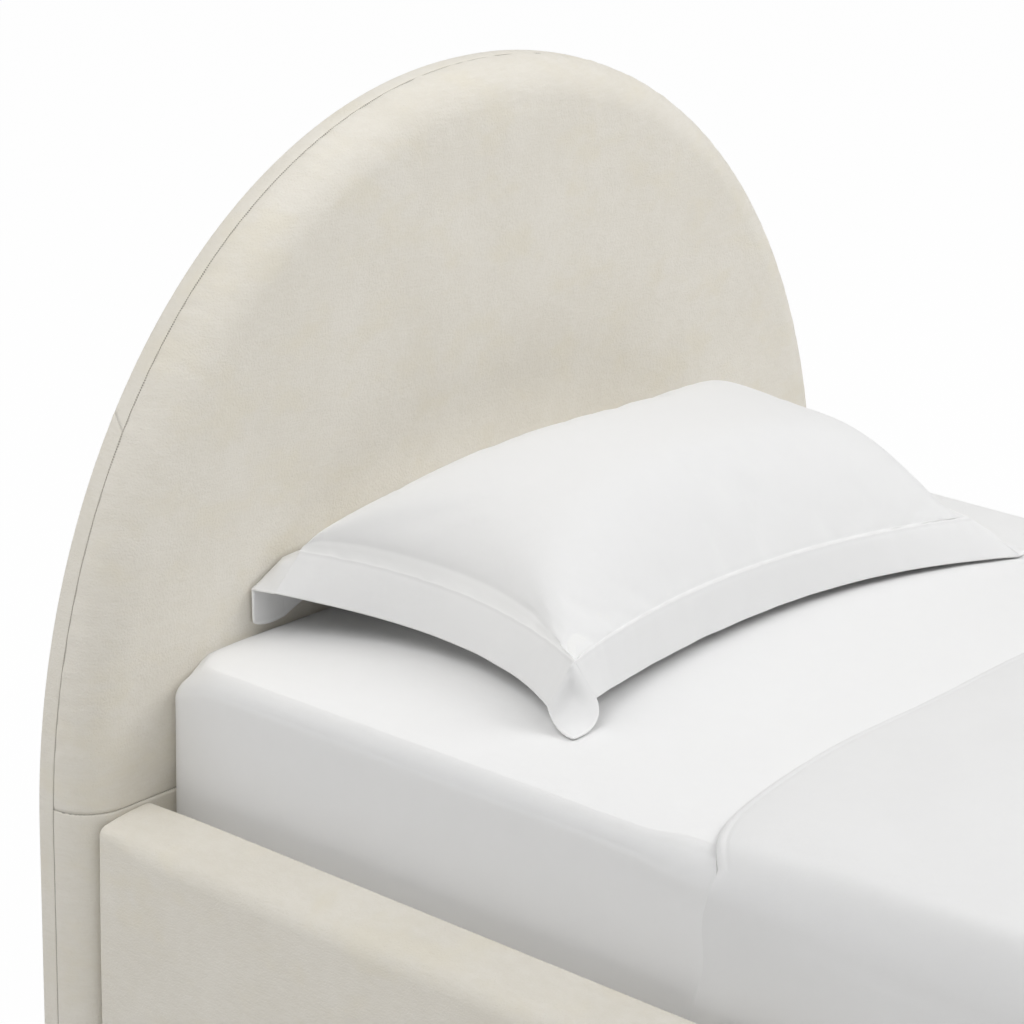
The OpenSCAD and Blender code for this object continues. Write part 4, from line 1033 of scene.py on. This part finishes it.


# white of the doubled cloth at hems and seam ridges, partly a painted highlight
doubled_cloth_and_highlight = (0.95, 0.95, 0.945)
# colour of the painted shade in the seam grooves
painted_groove_shade = (0.78, 0.78, 0.775)
sham_cotton = cotton_finish("sham_cotton", (0.870, 0.870, 0.868), sewn=True)
sheet_cotton = cotton_finish("sheet_cotton", (0.890, 0.890, 0.888))
turned_under = np.linspace(0, 0.058, 7)[:-1]
profile = [(sheet_turn_under - run, mattress_bottom - sheet_skin) for run in turned_under]
profile = profile + box_profile(sheet_skin) + [(flat_inset, mattress_top + sheet_skin)]
sheet_side = bed_in(np.stack([box_ring(inset, z) for inset, z in profile]))
sheet_flat = bed_in(box_flat(flat_inset, mattress_top + sheet_skin))
sheet = make(
    "fitted_sheet_cotton", [grid(sheet_side, closed=True), grid(sheet_flat)],
    sheet_cotton, "mattress", ["fitted_sheet"], wall=sheet_t,
)


# The pillow and its sham: a filled pillow in a white cotton sham, whose front and back are sewn
# together along four seams inside a two-layer flange with mitred corners. The flange hangs from the
# seams, its front left corner lies on the sheet as a tongue, and its back lies on the headboard.
crown_right = 0.286
pillow_w = 0.644
pillow_d = 0.346
side_draw_in = 0.037
draw_in_tilt = 0.019
end_draw_in = 0.042
pillow_x = -0.011
pillow_y = head_face - 0.0285 - pillow_d / 2
flange_t = 0.003
sham_t = 0.0012
sheet_top = 0.5094
rest_gap = 0.0004
flange_w = 0.045
flange_shares = np.array([
    0.008, 0.017, 0.027, 0.040, 0.055, 0.075, 0.10, 0.135, 0.18, 0.24, 0.31, 0.38, 0.45,
    0.517, 0.584, 0.651, 0.718, 0.785, 0.852, 0.92, 0.95, 0.975, 0.99, 1,
])


def seam_height(s, t):
    """Height of the seams over the sheet: tilted up to the back left by a plane, sunk along the sides as
    1 - t^2 and bowed up along the front and the back as 1 - s^2."""
    return 0.060 + 0.010 * (t - s) - 0.007 * (1 - t * t) + (0.010 + 0.004 * t) * (1 - s * s)


def fullness(s, t):
    """Fullness between the seams: (1 - |a|^m)^p (1 - |t|^n)^q, where a has its middle off to the right,
    m and p run from the left side to the right, and n and q from the back to the front."""
    right = (s + 1) / 2
    front = (1 - t) / 2
    across = s - crown_right * (1 - s * s)
    sides = np.clip(1 - np.abs(across) ** (1.51 + 6.00 * right), 0, None) ** (0.273 + 0.072 * right)
    return sides * np.clip(1 - np.abs(t) ** (5.59 - 4.59 * front), 0, None) ** (0.447 + 0.255 * front)


def seam_point(s, t, tuck=0.0):
    """A point of the surface that spans the seams: a rectangle whose sides are drawn in between its
    corners as 1 - t^2 and 1 - s^2; tuck draws it in all round."""
    x = pillow_x + s * (pillow_w / 2 - tuck - (side_draw_in - draw_in_tilt * s) * (1 - t * t))
    y = pillow_y + t * (pillow_d / 2 - tuck - end_draw_in * (1 - s * s)) + 0.016 * (1 - t * t) * s ** 8
    return np.stack(np.broadcast_arrays(x, y, sheet_top + seam_height(s, t)), axis=-1)


crown_up = 0.0945
crown_down = float(seam_height(0, 0)) + 0.018
back_gap = 0.0060
fold_share = 0.45
fold_drop = 0.011
hump = 0.16


def flange_edges(s, t):
    """The flange's free edge beside each seam, from corner to corner: left, right, front, back. Each
    stands off its seam by a set width, and by powers of the share of the way to a corner that pull
    it out or down there."""
    back = (t + 1) / 2
    left = seam_point(-1.0, t)
    left[..., 0] -= 0.0201 + 0.0159 * back ** 3
    left[..., 1] += 0.0132 * (1 - back) ** 6
    left[..., 2] = sheet_top + 0.0186 + 0.0281 * back ** 3
    right = seam_point(1.0, t)
    right[..., 0] += 0.020 + 0.012 * (1 - back) ** 4
    right[..., 1] -= 0.010 * (1 - back) ** 6
    right[..., 2] = sheet_top + 0.008 + 0.006 * (1 - t * t) + 0.010 * back ** 2
    near = (1 - s) / 2
    front = seam_point(s, -1.0)
    front[..., 0] += 0.018 * near ** 8 + 0.030 * (1 - near) ** 10
    front[..., 1] -= 0.0083 + 0.0031 * near ** 6 + 0.0401 * (1 - near) ** 8
    front[..., 2] = sheet_top + 0.0147 + 0.0084 * near ** 8
    front[..., 2] += -0.0122 * (1 - near) ** 4 - 0.0031 * (1 - s * s)
    end = seam_point(s, 1.0)
    end[..., 1] = head_face - back_gap
    end[..., 2] = sheet_top + 0.034 + 0.010 * (1 - s * s) - 0.026 * near ** 10 - 0.012 * (1 - near) ** 6
    return left, right, front, end


def back_fold(s):
    """Where the back flange is folded against the headboard, off the straight line from seam to edge."""
    seam = seam_point(s, 1.0)
    edge = flange_edges(s, 1.0)[3]
    fold = seam.copy()
    fold[..., 1] = head_face - back_gap
    fold[..., 2] -= fold_drop
    return fold - seam - (edge - seam) * fold_share


def crease(share):
    """Share of the fold across the flange: up to 1 at the fold, and down to 0 at the free edge."""
    return np.minimum(share / fold_share, (1 - share) / (1 - fold_share))


def strip(s, t, share, word):
    """A point of the flange beside one seam: from the seam to the free edge, humped between them."""
    share = np.asarray(share)[..., None]
    seam = seam_point(s, t)
    edge = flange_edges(s, t)[("left", "right", "front", "back").index(word)]
    if word == "back":
        return seam + (edge - seam) * share + crease(share) * back_fold(s)
    middle = 1 - np.asarray(t if word in ("left", "right") else s) ** 8
    humped = hump * (1 - share) * middle[..., None] * np.array([1, 1, -1])
    return seam + (edge - seam) * share * (1 + humped)


ears = {
    (-1, -1): ((-0.3653, 0.5666, 0.0020), (-0.0030, 0.0010, -0.0045), (0.0127, -0.0036, -0.0056)),
    (1, -1): ((0.361, 0.553, 0.0024), (0.0030, 0.0, 0.0), (0.0, -0.002, 0.0)),
    (-1, 1): ((-0.3765, head_face - back_gap, 0.0115), (0.0, 0.0, 0.0), (0.0, 0.0, -0.003)),
    (1, 1): ((0.352, head_face - back_gap, 0.0200), (0.0040, 0.0, 0.0), (0.0, 0.0, -0.004)),
}
ear_fold = (-0.3773, head_face - back_gap, sheet_top + 0.0472)
ear_carry = 0.45
ear_step_in = 0.03


def ear(sx, sy, f, g):
    """A corner of the flange: a patch between its seam corner, its two edges and its tip, bowed along
    its free sides. The folds of the back flange run on into it, and it leaves the strips beside it
    smoothly, by shares of their headings that fade with distance from them."""
    at = np.array([1.0])
    corner = seam_point(sx * at, sy * at)[0]
    edges = flange_edges(sx * at, sy * at)
    side_edge = edges[0 if sx < 0 else 1][0]
    end_edge = edges[2 if sy < 0 else 3][0]
    tip, side_turn, end_turn = (np.array(place) for place in ears[sx, sy])
    tip = tip + np.array([0, 0, sheet_top])
    f, g = f[..., None], g[..., None]

    def patch(f, g):
        """Straight shares of the four corners, and bows of 4 f^2 g (1 - g) and 4 g^2 f (1 - f)."""
        blunt = tip + (corner - tip) * 0.02 * (f * g) ** 12
        point = (corner * (1 - f) * (1 - g) + side_edge * f * (1 - g) + end_edge * (1 - f) * g
                 + blunt * f * g)
        return point + side_turn * 4 * f ** 2 * g * (1 - g) + end_turn * 4 * g ** 2 * f * (1 - f)

    out = patch(f, g)
    if sy > 0:
        fold = back_fold(sx * at)[0] * (1 - f)
        if sx < 0:
            fold = fold + (np.array(ear_fold) - patch(1.0, fold_share)) * f
        out = out + crease(g) * fold
    side_strip = (g, f, "left" if sx < 0 else "right", end_edge, (sx, sy * (1 - ear_step_in)))
    front_strip = (f, g, "front", side_edge, (sx * (1 - ear_step_in), sy))
    for share, across, word, edge, near in (front_strip, side_strip) if sy < 0 else (side_strip,):
        flat = across[..., 0]
        here = strip(np.full_like(flat, sx), np.full_like(flat, sy), flat, word)
        inner = strip(np.full_like(flat, near[0]), np.full_like(flat, near[1]), flat, word)
        heading = (here - inner) / np.linalg.norm(here - inner, axis=-1, keepdims=True)
        width = np.linalg.norm(edge - corner)
        fade = np.clip(1 - share / ear_carry, 0, 1) ** 2 * (1 + 2 * share / ear_carry)
        carry = fade * (1 - across ** 2) ** 2
        if word != "front":
            carry = carry * np.clip(across / 0.3, 0, 1) ** 2
        out = out + carry * (here + share * width * heading - out)
    return out


def flange_points(s, t, f, g, side, end):
    """The flange's middle surface: strips from seam to edge, and an ear at each corner."""
    out = seam_point(s, t)
    for word, share, mask in (
        ("left", f, (side < 0) & (end == 0)), ("right", f, (side > 0) & (end == 0)),
        ("front", g, (end < 0) & (side == 0)), ("back", g, (end > 0) & (side == 0)),
    ):
        out = np.where(mask[..., None], strip(s, t, share, word), out)
    for sx, sy in ears:
        mask = ((side == sx) & (end == sy))[..., None]
        out = np.where(mask, ear(sx, sy, f, g), out)
    return out


def seam_stations(n):
    """Places from seam to seam, closer beside them: the sine of even angles."""
    return np.sin(np.linspace(-math.pi / 2, math.pi / 2, n))


def pillow_lines(n):
    """Places between the seams, shares out on the flange at either end, and which end it is."""
    out = flange_shares
    place = np.concatenate([np.full(len(out), -1.0), seam_stations(n), np.full(len(out), 1.0)])
    share = np.concatenate([out[::-1], np.zeros(n), out])
    sign = np.concatenate([np.full(len(out), -1), np.zeros(n), np.full(len(out), 1)])
    return place, share, sign


def grid_normals(points):
    """The direction square to a grid at each point: the cross product of its two slopes."""
    across = np.gradient(points, axis=1)
    down = np.gradient(points, axis=0)
    normal = np.cross(across, down)
    return normal / np.maximum(np.linalg.norm(normal, axis=-1, keepdims=True), 1e-12)


def between_samples(values, rows, columns):
    """A coarse grid of vectors read at the rows and columns of a finer one, straight between samples."""
    r = np.linspace(0, values.shape[0] - 1, rows)
    c = np.linspace(0, values.shape[1] - 1, columns)
    r0 = np.minimum(r.astype(int), values.shape[0] - 2)
    c0 = np.minimum(c.astype(int), values.shape[1] - 2)
    fr = (r - r0)[:, None, None]
    fc = (c - c0)[None, :, None]
    top = values[r0][:, c0] * (1 - fc) + values[r0][:, c0 + 1] * fc
    low = values[r0 + 1][:, c0] * (1 - fc) + values[r0 + 1][:, c0 + 1] * fc
    return top * (1 - fr) + low * fr


def sham_body(columns, rows, face, skin=0.0):
    """The pillow between its seams: the surface that spans them, raised on top, where face is 1, and
    sunk below, where face is -1, by shares of the fullness, and never below the sheet."""
    s = seam_stations(columns)[None]
    t = seam_stations(rows)[:, None]
    points = seam_point(s, t, 2.5 * skin)
    full = fullness(s, t)
    half = 0.0015 - min(skin, 0.0012)
    if face > 0:
        points[..., 2] += half + (crown_up - skin) * full
    else:
        points[..., 2] = np.maximum(sheet_top + rest_gap + skin, points[..., 2] - half - crown_down * full)
    return points


def puffed(top, bottom, frames=20, pressure=3.0, slack=0.007, reach=0.005):
    """Cloth under pressure from inside, held at its seams, with a little spare cloth: how far it moves
    at each point, levelled off at reach as tanh."""
    rows, columns = top.shape[:2]
    points = np.concatenate([top.reshape(-1, 3), bottom.reshape(-1, 3)])
    first = np.arange(rows * columns).reshape(rows, columns)
    edge = np.ones((rows, columns), bool)
    edge[1:-1, 1:-1] = False
    second = np.where(edge, first, first + rows * columns)
    faces = []
    for index in (first, second[:, ::-1]):
        corners = [index[:-1, :-1], index[:-1, 1:], index[1:, 1:], index[1:, :-1]]
        faces.append(np.stack(corners, axis=-1).reshape(-1, 4))
    mesh = bpy.data.meshes.new("puffed")
    mesh.from_pydata(points.tolist(), [], np.concatenate(faces).tolist())
    piece = bpy.data.objects.new("puffed", mesh)
    bpy.context.scene.collection.objects.link(piece)
    held = piece.vertex_groups.new(name="seams")
    held.add(first[edge].tolist(), 1.0, "ADD")
    cloth = piece.modifiers.new("cloth", "CLOTH")
    cloth.settings.vertex_group_mass = "seams"
    cloth.settings.use_pressure = True
    cloth.settings.uniform_pressure_force = pressure
    cloth.settings.shrink_min = -slack
    cloth.settings.quality = 6
    cloth.settings.effector_weights.gravity = 0
    scene = bpy.context.scene
    for frame_number in range(1, frames + 1):
        scene.frame_set(frame_number)
    shaped = piece.evaluated_get(bpy.context.evaluated_depsgraph_get())
    moved = np.empty(len(shaped.data.vertices) * 3)
    shaped.data.vertices.foreach_get("co", moved)
    moved = moved.reshape(-1, 3) - points
    scene.frame_set(1)
    bpy.data.objects.remove(piece)
    bpy.data.meshes.remove(mesh)
    length = np.linalg.norm(moved, axis=1, keepdims=True)
    moved *= reach * np.tanh(length / reach) / np.maximum(length, 1e-9)
    return moved.reshape(2, rows, columns, 3)


sham_columns, sham_rows = 121, 75
coarse = (61, 39)
moves = dict(zip((1, -1), puffed(sham_body(*coarse, 1), sham_body(*coarse, -1))))
ridge_h = 0.0009
ridge_w = 0.0012
groove_depth = 0.0002
groove_away = 0.0032
groove_w = 0.0014
hem_share = 0.955
hem_round = 0.045
flange_wave = 0.0007
flange_gather = 0.00045
body_pucker = 0.0003


def seam_relief(away):
    """The ridge of a seam and the groove beside it, at a distance from the seam."""
    return ridge_h * valley(away, ridge_w) - groove_depth * valley(away - groove_away, groove_w)


def sham_grid(face):
    """One side of the sham, its body with the cloth's own give and its side of the flange, and the
    distances from the hem and from the seam."""
    columns = [line[None] for line in pillow_lines(sham_columns)]
    rows = [line[:, None] for line in pillow_lines(sham_rows)]
    s, f, side, t, g, end = np.broadcast_arrays(*columns, *rows)
    out = np.maximum(f, g)
    points = flange_points(s, t, f, g, side, end)
    normal = grid_normals(points)
    upright = np.array([0.0, 0.0, 1.0])
    lean = np.clip(out / 0.12, 0, 1)[..., None]
    normal = normal * lean + upright * (1 - lean)
    normal /= np.linalg.norm(normal, axis=-1, keepdims=True)
    edge = np.sqrt(np.clip(1 - (np.clip(out - hem_share, 0, 1) / hem_round) ** 2, 0.04, 1))
    along = np.where(end != 0, points[..., 0], points[..., 1])
    places = np.stack([along, side * 0.3 + end * 0.7], axis=-1)
    wave = flange_wave * swell(places, 0.050, 31) * out
    wave = wave + flange_gather * swell(places, 0.016, 32) * np.exp(-out / 0.35) * (out > 0)
    stitch = seam_relief(out * flange_w)
    seams = np.stack([np.where(out > 0, (1 - out) * flange_w, 1.0), out * flange_w], axis=-1)
    shell = points + normal * (face * (flange_t / 2 * edge + stitch) + wave)[..., None]
    body = sham_body(sham_columns, sham_rows, face)
    give = between_samples(moves[face], sham_rows, sham_columns)
    away_x = (1 - np.abs(seam_stations(sham_columns)[None])) * pillow_w / 2
    away_y = (1 - np.abs(seam_stations(sham_rows)[:, None])) * pillow_d / 2
    away = np.minimum(away_x, away_y)
    body = body + give
    gathers_x = swell(np.stack(np.broadcast_arrays(body[..., 0], away_y * 0.3), axis=-1), 0.017, 33)
    gathers_y = swell(np.stack(np.broadcast_arrays(body[..., 1], away_x * 0.3), axis=-1), 0.017, 34)
    gathers = (gathers_x * np.exp(-away_y / 0.014) * np.clip(away_y / 0.003, 0, 1)
               + gathers_y * np.exp(-away_x / 0.014) * np.clip(away_x / 0.003, 0, 1))
    body[..., 2] += face * (body_pucker * gathers + seam_relief(away))
    if face < 0:
        body[..., 2] = np.maximum(body[..., 2], sheet_top + rest_gap)
    n = len(flange_shares)
    shell[n:-n, n:-n] = body
    seams[n:-n, n:-n, 1] = away
    shell[..., 2] = np.maximum(shell[..., 2], sheet_top + rest_gap + (0.0004 if face > 0 else 0))
    return shell, seams


def closed_pair(top, bottom, seams=None):
    """Two grids joined round their edges by a third."""

    def rim(points):
        """The edge of a grid, once round."""
        return np.concatenate([points[0, :-1], points[:-1, -1], points[-1, :0:-1], points[:0:-1, 0]])
    rim_seams = None if seams is None else np.stack([rim(seams), rim(seams)])
    return [grid(top, seam=seams), grid(bottom, seam=seams),
            grid(np.stack([rim(top), rim(bottom)]), closed=True, seam=rim_seams)]


pillow_ticking = Finish("pillow_ticking", Roughness=0.85, Specular_IOR_Level=0.25)
knit = pillow_ticking.noise(pillow_ticking.place(), 0.0012, 2)
pillow_ticking.fill(pillow_ticking.shader, {
    "Base Color": pillow_ticking.mix(knit, (0.82, 0.82, 0.81), (0.90, 0.90, 0.89)),
    "Normal": pillow_ticking.bump(knit, 0.0003),
})
inner_skin = sham_t + 0.0004
filling = [sham_body(91, 57, face, inner_skin) for face in (1, -1)]
pillow = make(
    "pillow_filling", closed_pair(*filling),
    pillow_ticking.material, "pillow", ["pillow"],
)
sham_top, sham_seams = sham_grid(1)
sham_under, sham_seams = sham_grid(-1)
sham = make(
    "sham_cover", closed_pair(sham_top, sham_under, sham_seams),
    sham_cotton, "pillow", ["pillow_sham"],
)


# The duvet: a thin down filling in white cotton, laid over the mattress and tucked down inside the
# rails on three sides, with a stitched hem at its head edge.
duvet_start = 0.582
duvet_loft = 0.027
duvet_edge_t = 0.009
duvet_hem_z = 0.305
duvet_head_sag = 0.055
duvet_head_wave = 0.0014
duvet_corner_sag = 0.020
duvet_roll_drop = 0.016
duvet_roll_reach = 0.035
duvet_skin_in = 0.0020
head_edge_run = 0.220
mattress_foot = mattress_mid - mattress_l / 2
hem_rib = 0.0045
cord_h = 0.0003
cord_w = 0.0030
hem_stitch = 0.0105
stitch_depth = 0.0005
stitch_w = 0.0022


def duvet_head_y(x):
    """The head edge: straight over the middle, sagging to the sides as |x|^4 and |x|^16, a little wavy."""
    side = np.minimum(1, np.abs(x) / (mattress_w / 2))
    wave = duvet_head_wave * np.sin(x / 0.045) * (1 - side ** 4)
    return head_face - duvet_start - duvet_head_sag * side ** 4 - duvet_corner_sag * side ** 16 + wave


def duvet_thickness(x, y):
    """A thin corded hem, a stitched valley beside it, and from there the loft: it rises as the sine of
    the share of the way from the head edge."""
    away = np.maximum(duvet_head_y(x) - y, 0)
    rib = 0.5 + 0.5 * np.sqrt(1 - (1 - np.clip(away / hem_rib, 0, 1)) ** 2)
    cord = cord_h * valley(away - hem_rib, cord_w) - stitch_depth * valley(away - hem_stitch, stitch_w)
    body = duvet_edge_t - 0.0045 * np.exp(-away / 0.020)
    rise = np.sin(math.pi / 2 * np.clip(away / head_edge_run, 0, 1))
    return body * rib + cord + (duvet_loft - duvet_edge_t) * rise


def duvet_soften(points, share, skin):
    """Lets the outer skin fall away over the mattress's edges: a drop that fades as exp(-d/r)."""
    x, y, z = points[..., 0], points[..., 1], points[..., 2]
    side = np.maximum(mattress_w / 2 + skin - np.abs(x), 0)
    foot = np.maximum(y - mattress_foot + skin, 0)
    rise = np.sin(math.pi / 2 * np.clip((duvet_head_y(x) - y) / head_edge_run, 0, 1))
    below = np.maximum(mattress_top - mattress_edge_r - z, 0)
    edge = np.exp(-side / duvet_roll_reach) + np.exp(-foot / duvet_roll_reach)
    points[..., 2] = z - share * duvet_roll_drop * rise * edge * np.exp(-below / 0.05)
    return points


hem_steps = np.array([
    0, 0.0003, 0.0011, 0.0024, 0.0045, 0.0065, 0.0085, 0.010, 0.0115, 0.013, 0.015, 0.018, 0.024,
])
duvet_run = 1.42
duvet_flat_inset = 0.055
broad_billow = 0.0034
small_billow = 0.0012
side_billow = 0.0028
duvet_stations = np.concatenate([
    hem_steps / duvet_run, np.linspace(hem_steps[-1] / duvet_run, 1, 150)[1:],
])
foot_stations = np.linspace(-1, 1, 120)


def duvet_path(inset, z, loft_share, fold):
    """A ring from the head edge down the left side, round the foot and back up the right side."""
    r = max(mattress_corner_r - inset, 0)
    x = mattress_w / 2 - inset
    y_end = mattress_foot + inset
    below = max(0, mattress_top - z)
    top = float(duvet_head_y(-x)) + 0.07 * below + 0.0030 * math.sin(z / 0.014) * min(1, below / 0.04)
    side_y = top + (y_end + r - top) * duvet_stations
    a = np.linspace(math.pi, 1.5 * math.pi, 17)[1:]
    turn_x = -x + r + r * np.cos(a)
    turn_y = y_end + r + r * np.sin(a)
    foot_x = (x - r) * foot_stations[1:]
    foot_y = np.full_like(foot_x, y_end)

    def around(side, turn, foot, mirror):
        """Joins what the left side, its turn and the foot have, and what the right has as their mirror."""
        return np.concatenate([side, turn, foot, mirror * turn[:-1][::-1], mirror * side[::-1]])

    sides = np.ones_like(side_y)
    xs = around(-x * sides, turn_x, foot_x, -1)
    ys = around(side_y, turn_y, foot_y, 1)
    out = np.stack([around(-sides, np.cos(a), 0 * foot_x, -1),
                    around(0 * sides, np.sin(a), np.full_like(foot_x, -1), 1)])
    billow = fold * (1 + swell(np.stack([xs, ys, np.full_like(xs, z * 0.6)], axis=-1), 0.24, 41))
    near_head = np.clip((top - ys) / 0.03, 0, 1)
    out = out * billow * (0.25 + 0.75 * near_head)
    height = z + loft_share * duvet_thickness(xs, ys)
    return np.stack([xs + out[0], ys + out[1], height], axis=-1)


def duvet_flat(inset, z, loft_share):
    """The duvet's top between the rings: stations down the bed by stations across it."""
    x = (mattress_w / 2 - inset) * foot_stations
    top = duvet_head_y(x)
    y = top[None] + (mattress_foot + inset - top)[None] * duvet_stations[:, None]
    x = np.broadcast_to(x, y.shape)
    return np.stack([x, y, z + loft_share * duvet_thickness(x, y)], axis=-1)


def duvet_billow(points, share):
    """Broad soft rises and dips of the filling, on top."""
    room = np.clip((duvet_head_y(points[..., 0]) - points[..., 1]) / 0.10, 0, 1)
    places = points[..., :2] * np.array([1.0, 0.8])
    rise = broad_billow * swell(places, 0.30, 42) + small_billow * swell(places, 0.11, 43)
    points[..., 2] += share * rise * room
    return points


def duvet_rows(skin, loft_share):
    """Rings up the duvet's hang, over the mattress's edge as a quarter of an ellipse and in to the flat
    top, and the flat top: the inner skin with no loft, the outer one with all of it."""
    edge_z = mattress_top - mattress_edge_r
    shares = np.linspace(0, 1, 26)[:-1]
    levels = np.linspace(duvet_hem_z, edge_z, 26)[:-1]
    rows = [duvet_path(-skin, z, 0, loft_share * side_billow * math.sin(math.pi * share) ** 0.5)
            for share, z in zip(shares, levels)]
    over_r = mattress_edge_r + skin
    for a in np.linspace(0, math.pi / 2, 13):
        inset = mattress_edge_r - over_r * math.cos(a)
        z = edge_z + (over_r - loft_share * duvet_edge_t) * math.sin(a)
        ring = duvet_path(inset, z, loft_share * math.sin(a), 0)
        rows.append(duvet_billow(ring, loft_share * math.sin(a) ** 2))
    top = mattress_top + skin - loft_share * duvet_edge_t
    for inset in np.linspace(mattress_edge_r, duvet_flat_inset, 6)[1:]:
        rows.append(duvet_billow(duvet_path(inset, top, loft_share, 0), loft_share))
    flat = duvet_billow(duvet_flat(duvet_flat_inset, top, loft_share), loft_share)
    return duvet_soften(np.stack(rows), loft_share, skin), duvet_soften(flat, loft_share, skin)


duvet_cotton = cotton_finish("duvet_cotton", (0.840, 0.840, 0.838))
outer, outer_top = duvet_rows(duvet_skin_in + duvet_edge_t, 1)
inner, inner_top = duvet_rows(duvet_skin_in, 0)
edges = [(outer[0], inner[0]), (outer[:, 0], inner[:, 0]), (outer[:, -1], inner[:, -1]),
         (outer_top[0], inner_top[0])]
duvet = make(
    "duvet_body",
    [grid(skin) for skin in (outer, outer_top, inner, inner_top)] + [grid(np.stack(pair)) for pair in edges],
    duvet_cotton, "duvet", ["duvet"],
)


# The studio: a white floor that keeps the bed's shadow, an even pale surround that is white to the
# camera and in gloss, and four large soft lamps round the bed.
floor_glow = 0.985
floor_reach = 30
sky_grey = 0.20
lamp_size = 3.2
lamp_away = 5
lamp_aim = (0, 0.4, 0.5)
lamps = (
    ("front_high", 0, 60, 30), ("front_right", 50, 40, 134),
    ("back_left", -135, 40, 40), ("left_high", -90, 55, 98),
)


def white_to_camera(finish):
    """1 for rays from the camera and in gloss and glass, 0 for the light that falls on things."""
    share = 0
    for kind in ("Is Camera Ray", "Is Glossy Ray", "Is Transmission Ray"):
        share = finish.node("ShaderNodeMath", {"operation": "MAXIMUM"},
                            {0: share, 1: finish.node("ShaderNodeLightPath", output=kind)})
    return share


floor_colour = (0.85, 0.85, 0.85)
floor_finish = Finish("studio_floor", Base_Color=floor_colour, Roughness=1.0, Specular_IOR_Level=0.0)
glow = floor_finish.node("ShaderNodeEmission", {}, {"Color": (1, 1, 1), "Strength": 1.0})
lit = Shade(floor_finish, floor_finish.shader.outputs[0])
both = floor_finish.node(
    "ShaderNodeMixShader", {}, {0: white_to_camera(floor_finish) * floor_glow, 1: lit, 2: glow}
)
floor_finish.fill(floor_finish.tree.nodes["Material Output"], {"Surface": both})
floor_mesh = bpy.data.meshes.new("floor")
corners = ((-1, -1), (1, -1), (1, 1), (-1, 1))
floor_mesh.from_pydata([(x * floor_reach, y * floor_reach, 0) for x, y in corners], [], [(0, 1, 2, 3)])
floor_mesh.materials.append(floor_finish.material)
floor = bpy.data.objects.new("floor", floor_mesh)
bpy.context.scene.collection.objects.link(floor)

world = bpy.data.worlds.new("studio")
bpy.context.scene.world = world
world.use_nodes = True


class Surround(Finish):
    """The world's own tree of nodes, worked with as a finish is."""

    def __init__(self, tree):
        self.tree = tree
        self.shader = tree.nodes["Background"]


sky = Surround(world.node_tree)
sky_colour = sky.mix(white_to_camera(sky), (sky_grey,) * 3, (1.0, 1.0, 1.0))
sky.fill(sky.shader, {"Color": sky_colour, "Strength": 1.0})

for name, turn, rise, watts in lamps:
    turn, rise = math.radians(turn), math.radians(rise)
    out = Vector((math.sin(turn) * math.cos(rise), -math.cos(turn) * math.cos(rise), math.sin(rise)))
    lamp_data = bpy.data.lights.new(name, "AREA")
    lamp_data.shape = "SQUARE"
    lamp_data.size = lamp_size
    lamp_data.energy = watts
    lamp = bpy.data.objects.new(name, lamp_data)
    lamp.location = Vector(lamp_aim) + out * lamp_away
    lamp.rotation_euler = (-out).to_track_quat("-Z", "Y").to_euler()
    bpy.context.scene.collection.objects.link(lamp)

picture_w = 1024
focal_w = 3307.5
camera_at = (-2.498, -1.1704, 1.6635)
yaw, pitch, roll = (math.radians(a) for a in (49.58, 18.81, 1.36))
ahead = Vector((math.sin(yaw) * math.cos(pitch), math.cos(yaw) * math.cos(pitch), -math.sin(pitch)))
level = Vector((math.cos(yaw), -math.sin(yaw), 0))
upward = level.cross(ahead)
right = math.cos(roll) * level + math.sin(roll) * upward
up = math.cos(roll) * upward - math.sin(roll) * level
camera_data = bpy.data.cameras.new("camera")
camera_data.sensor_width = 36
camera_data.lens = camera_data.sensor_width * focal_w / picture_w
camera_data.clip_end = 100
camera = bpy.data.objects.new("camera", camera_data)
turned = Matrix((right, up, -ahead)).transposed().to_4x4()
camera.matrix_world = Matrix.Translation(camera_at) @ turned
bpy.context.scene.collection.objects.link(camera)
bpy.context.scene.camera = camera
bpy.context.scene.view_settings.view_transform = "Standard"
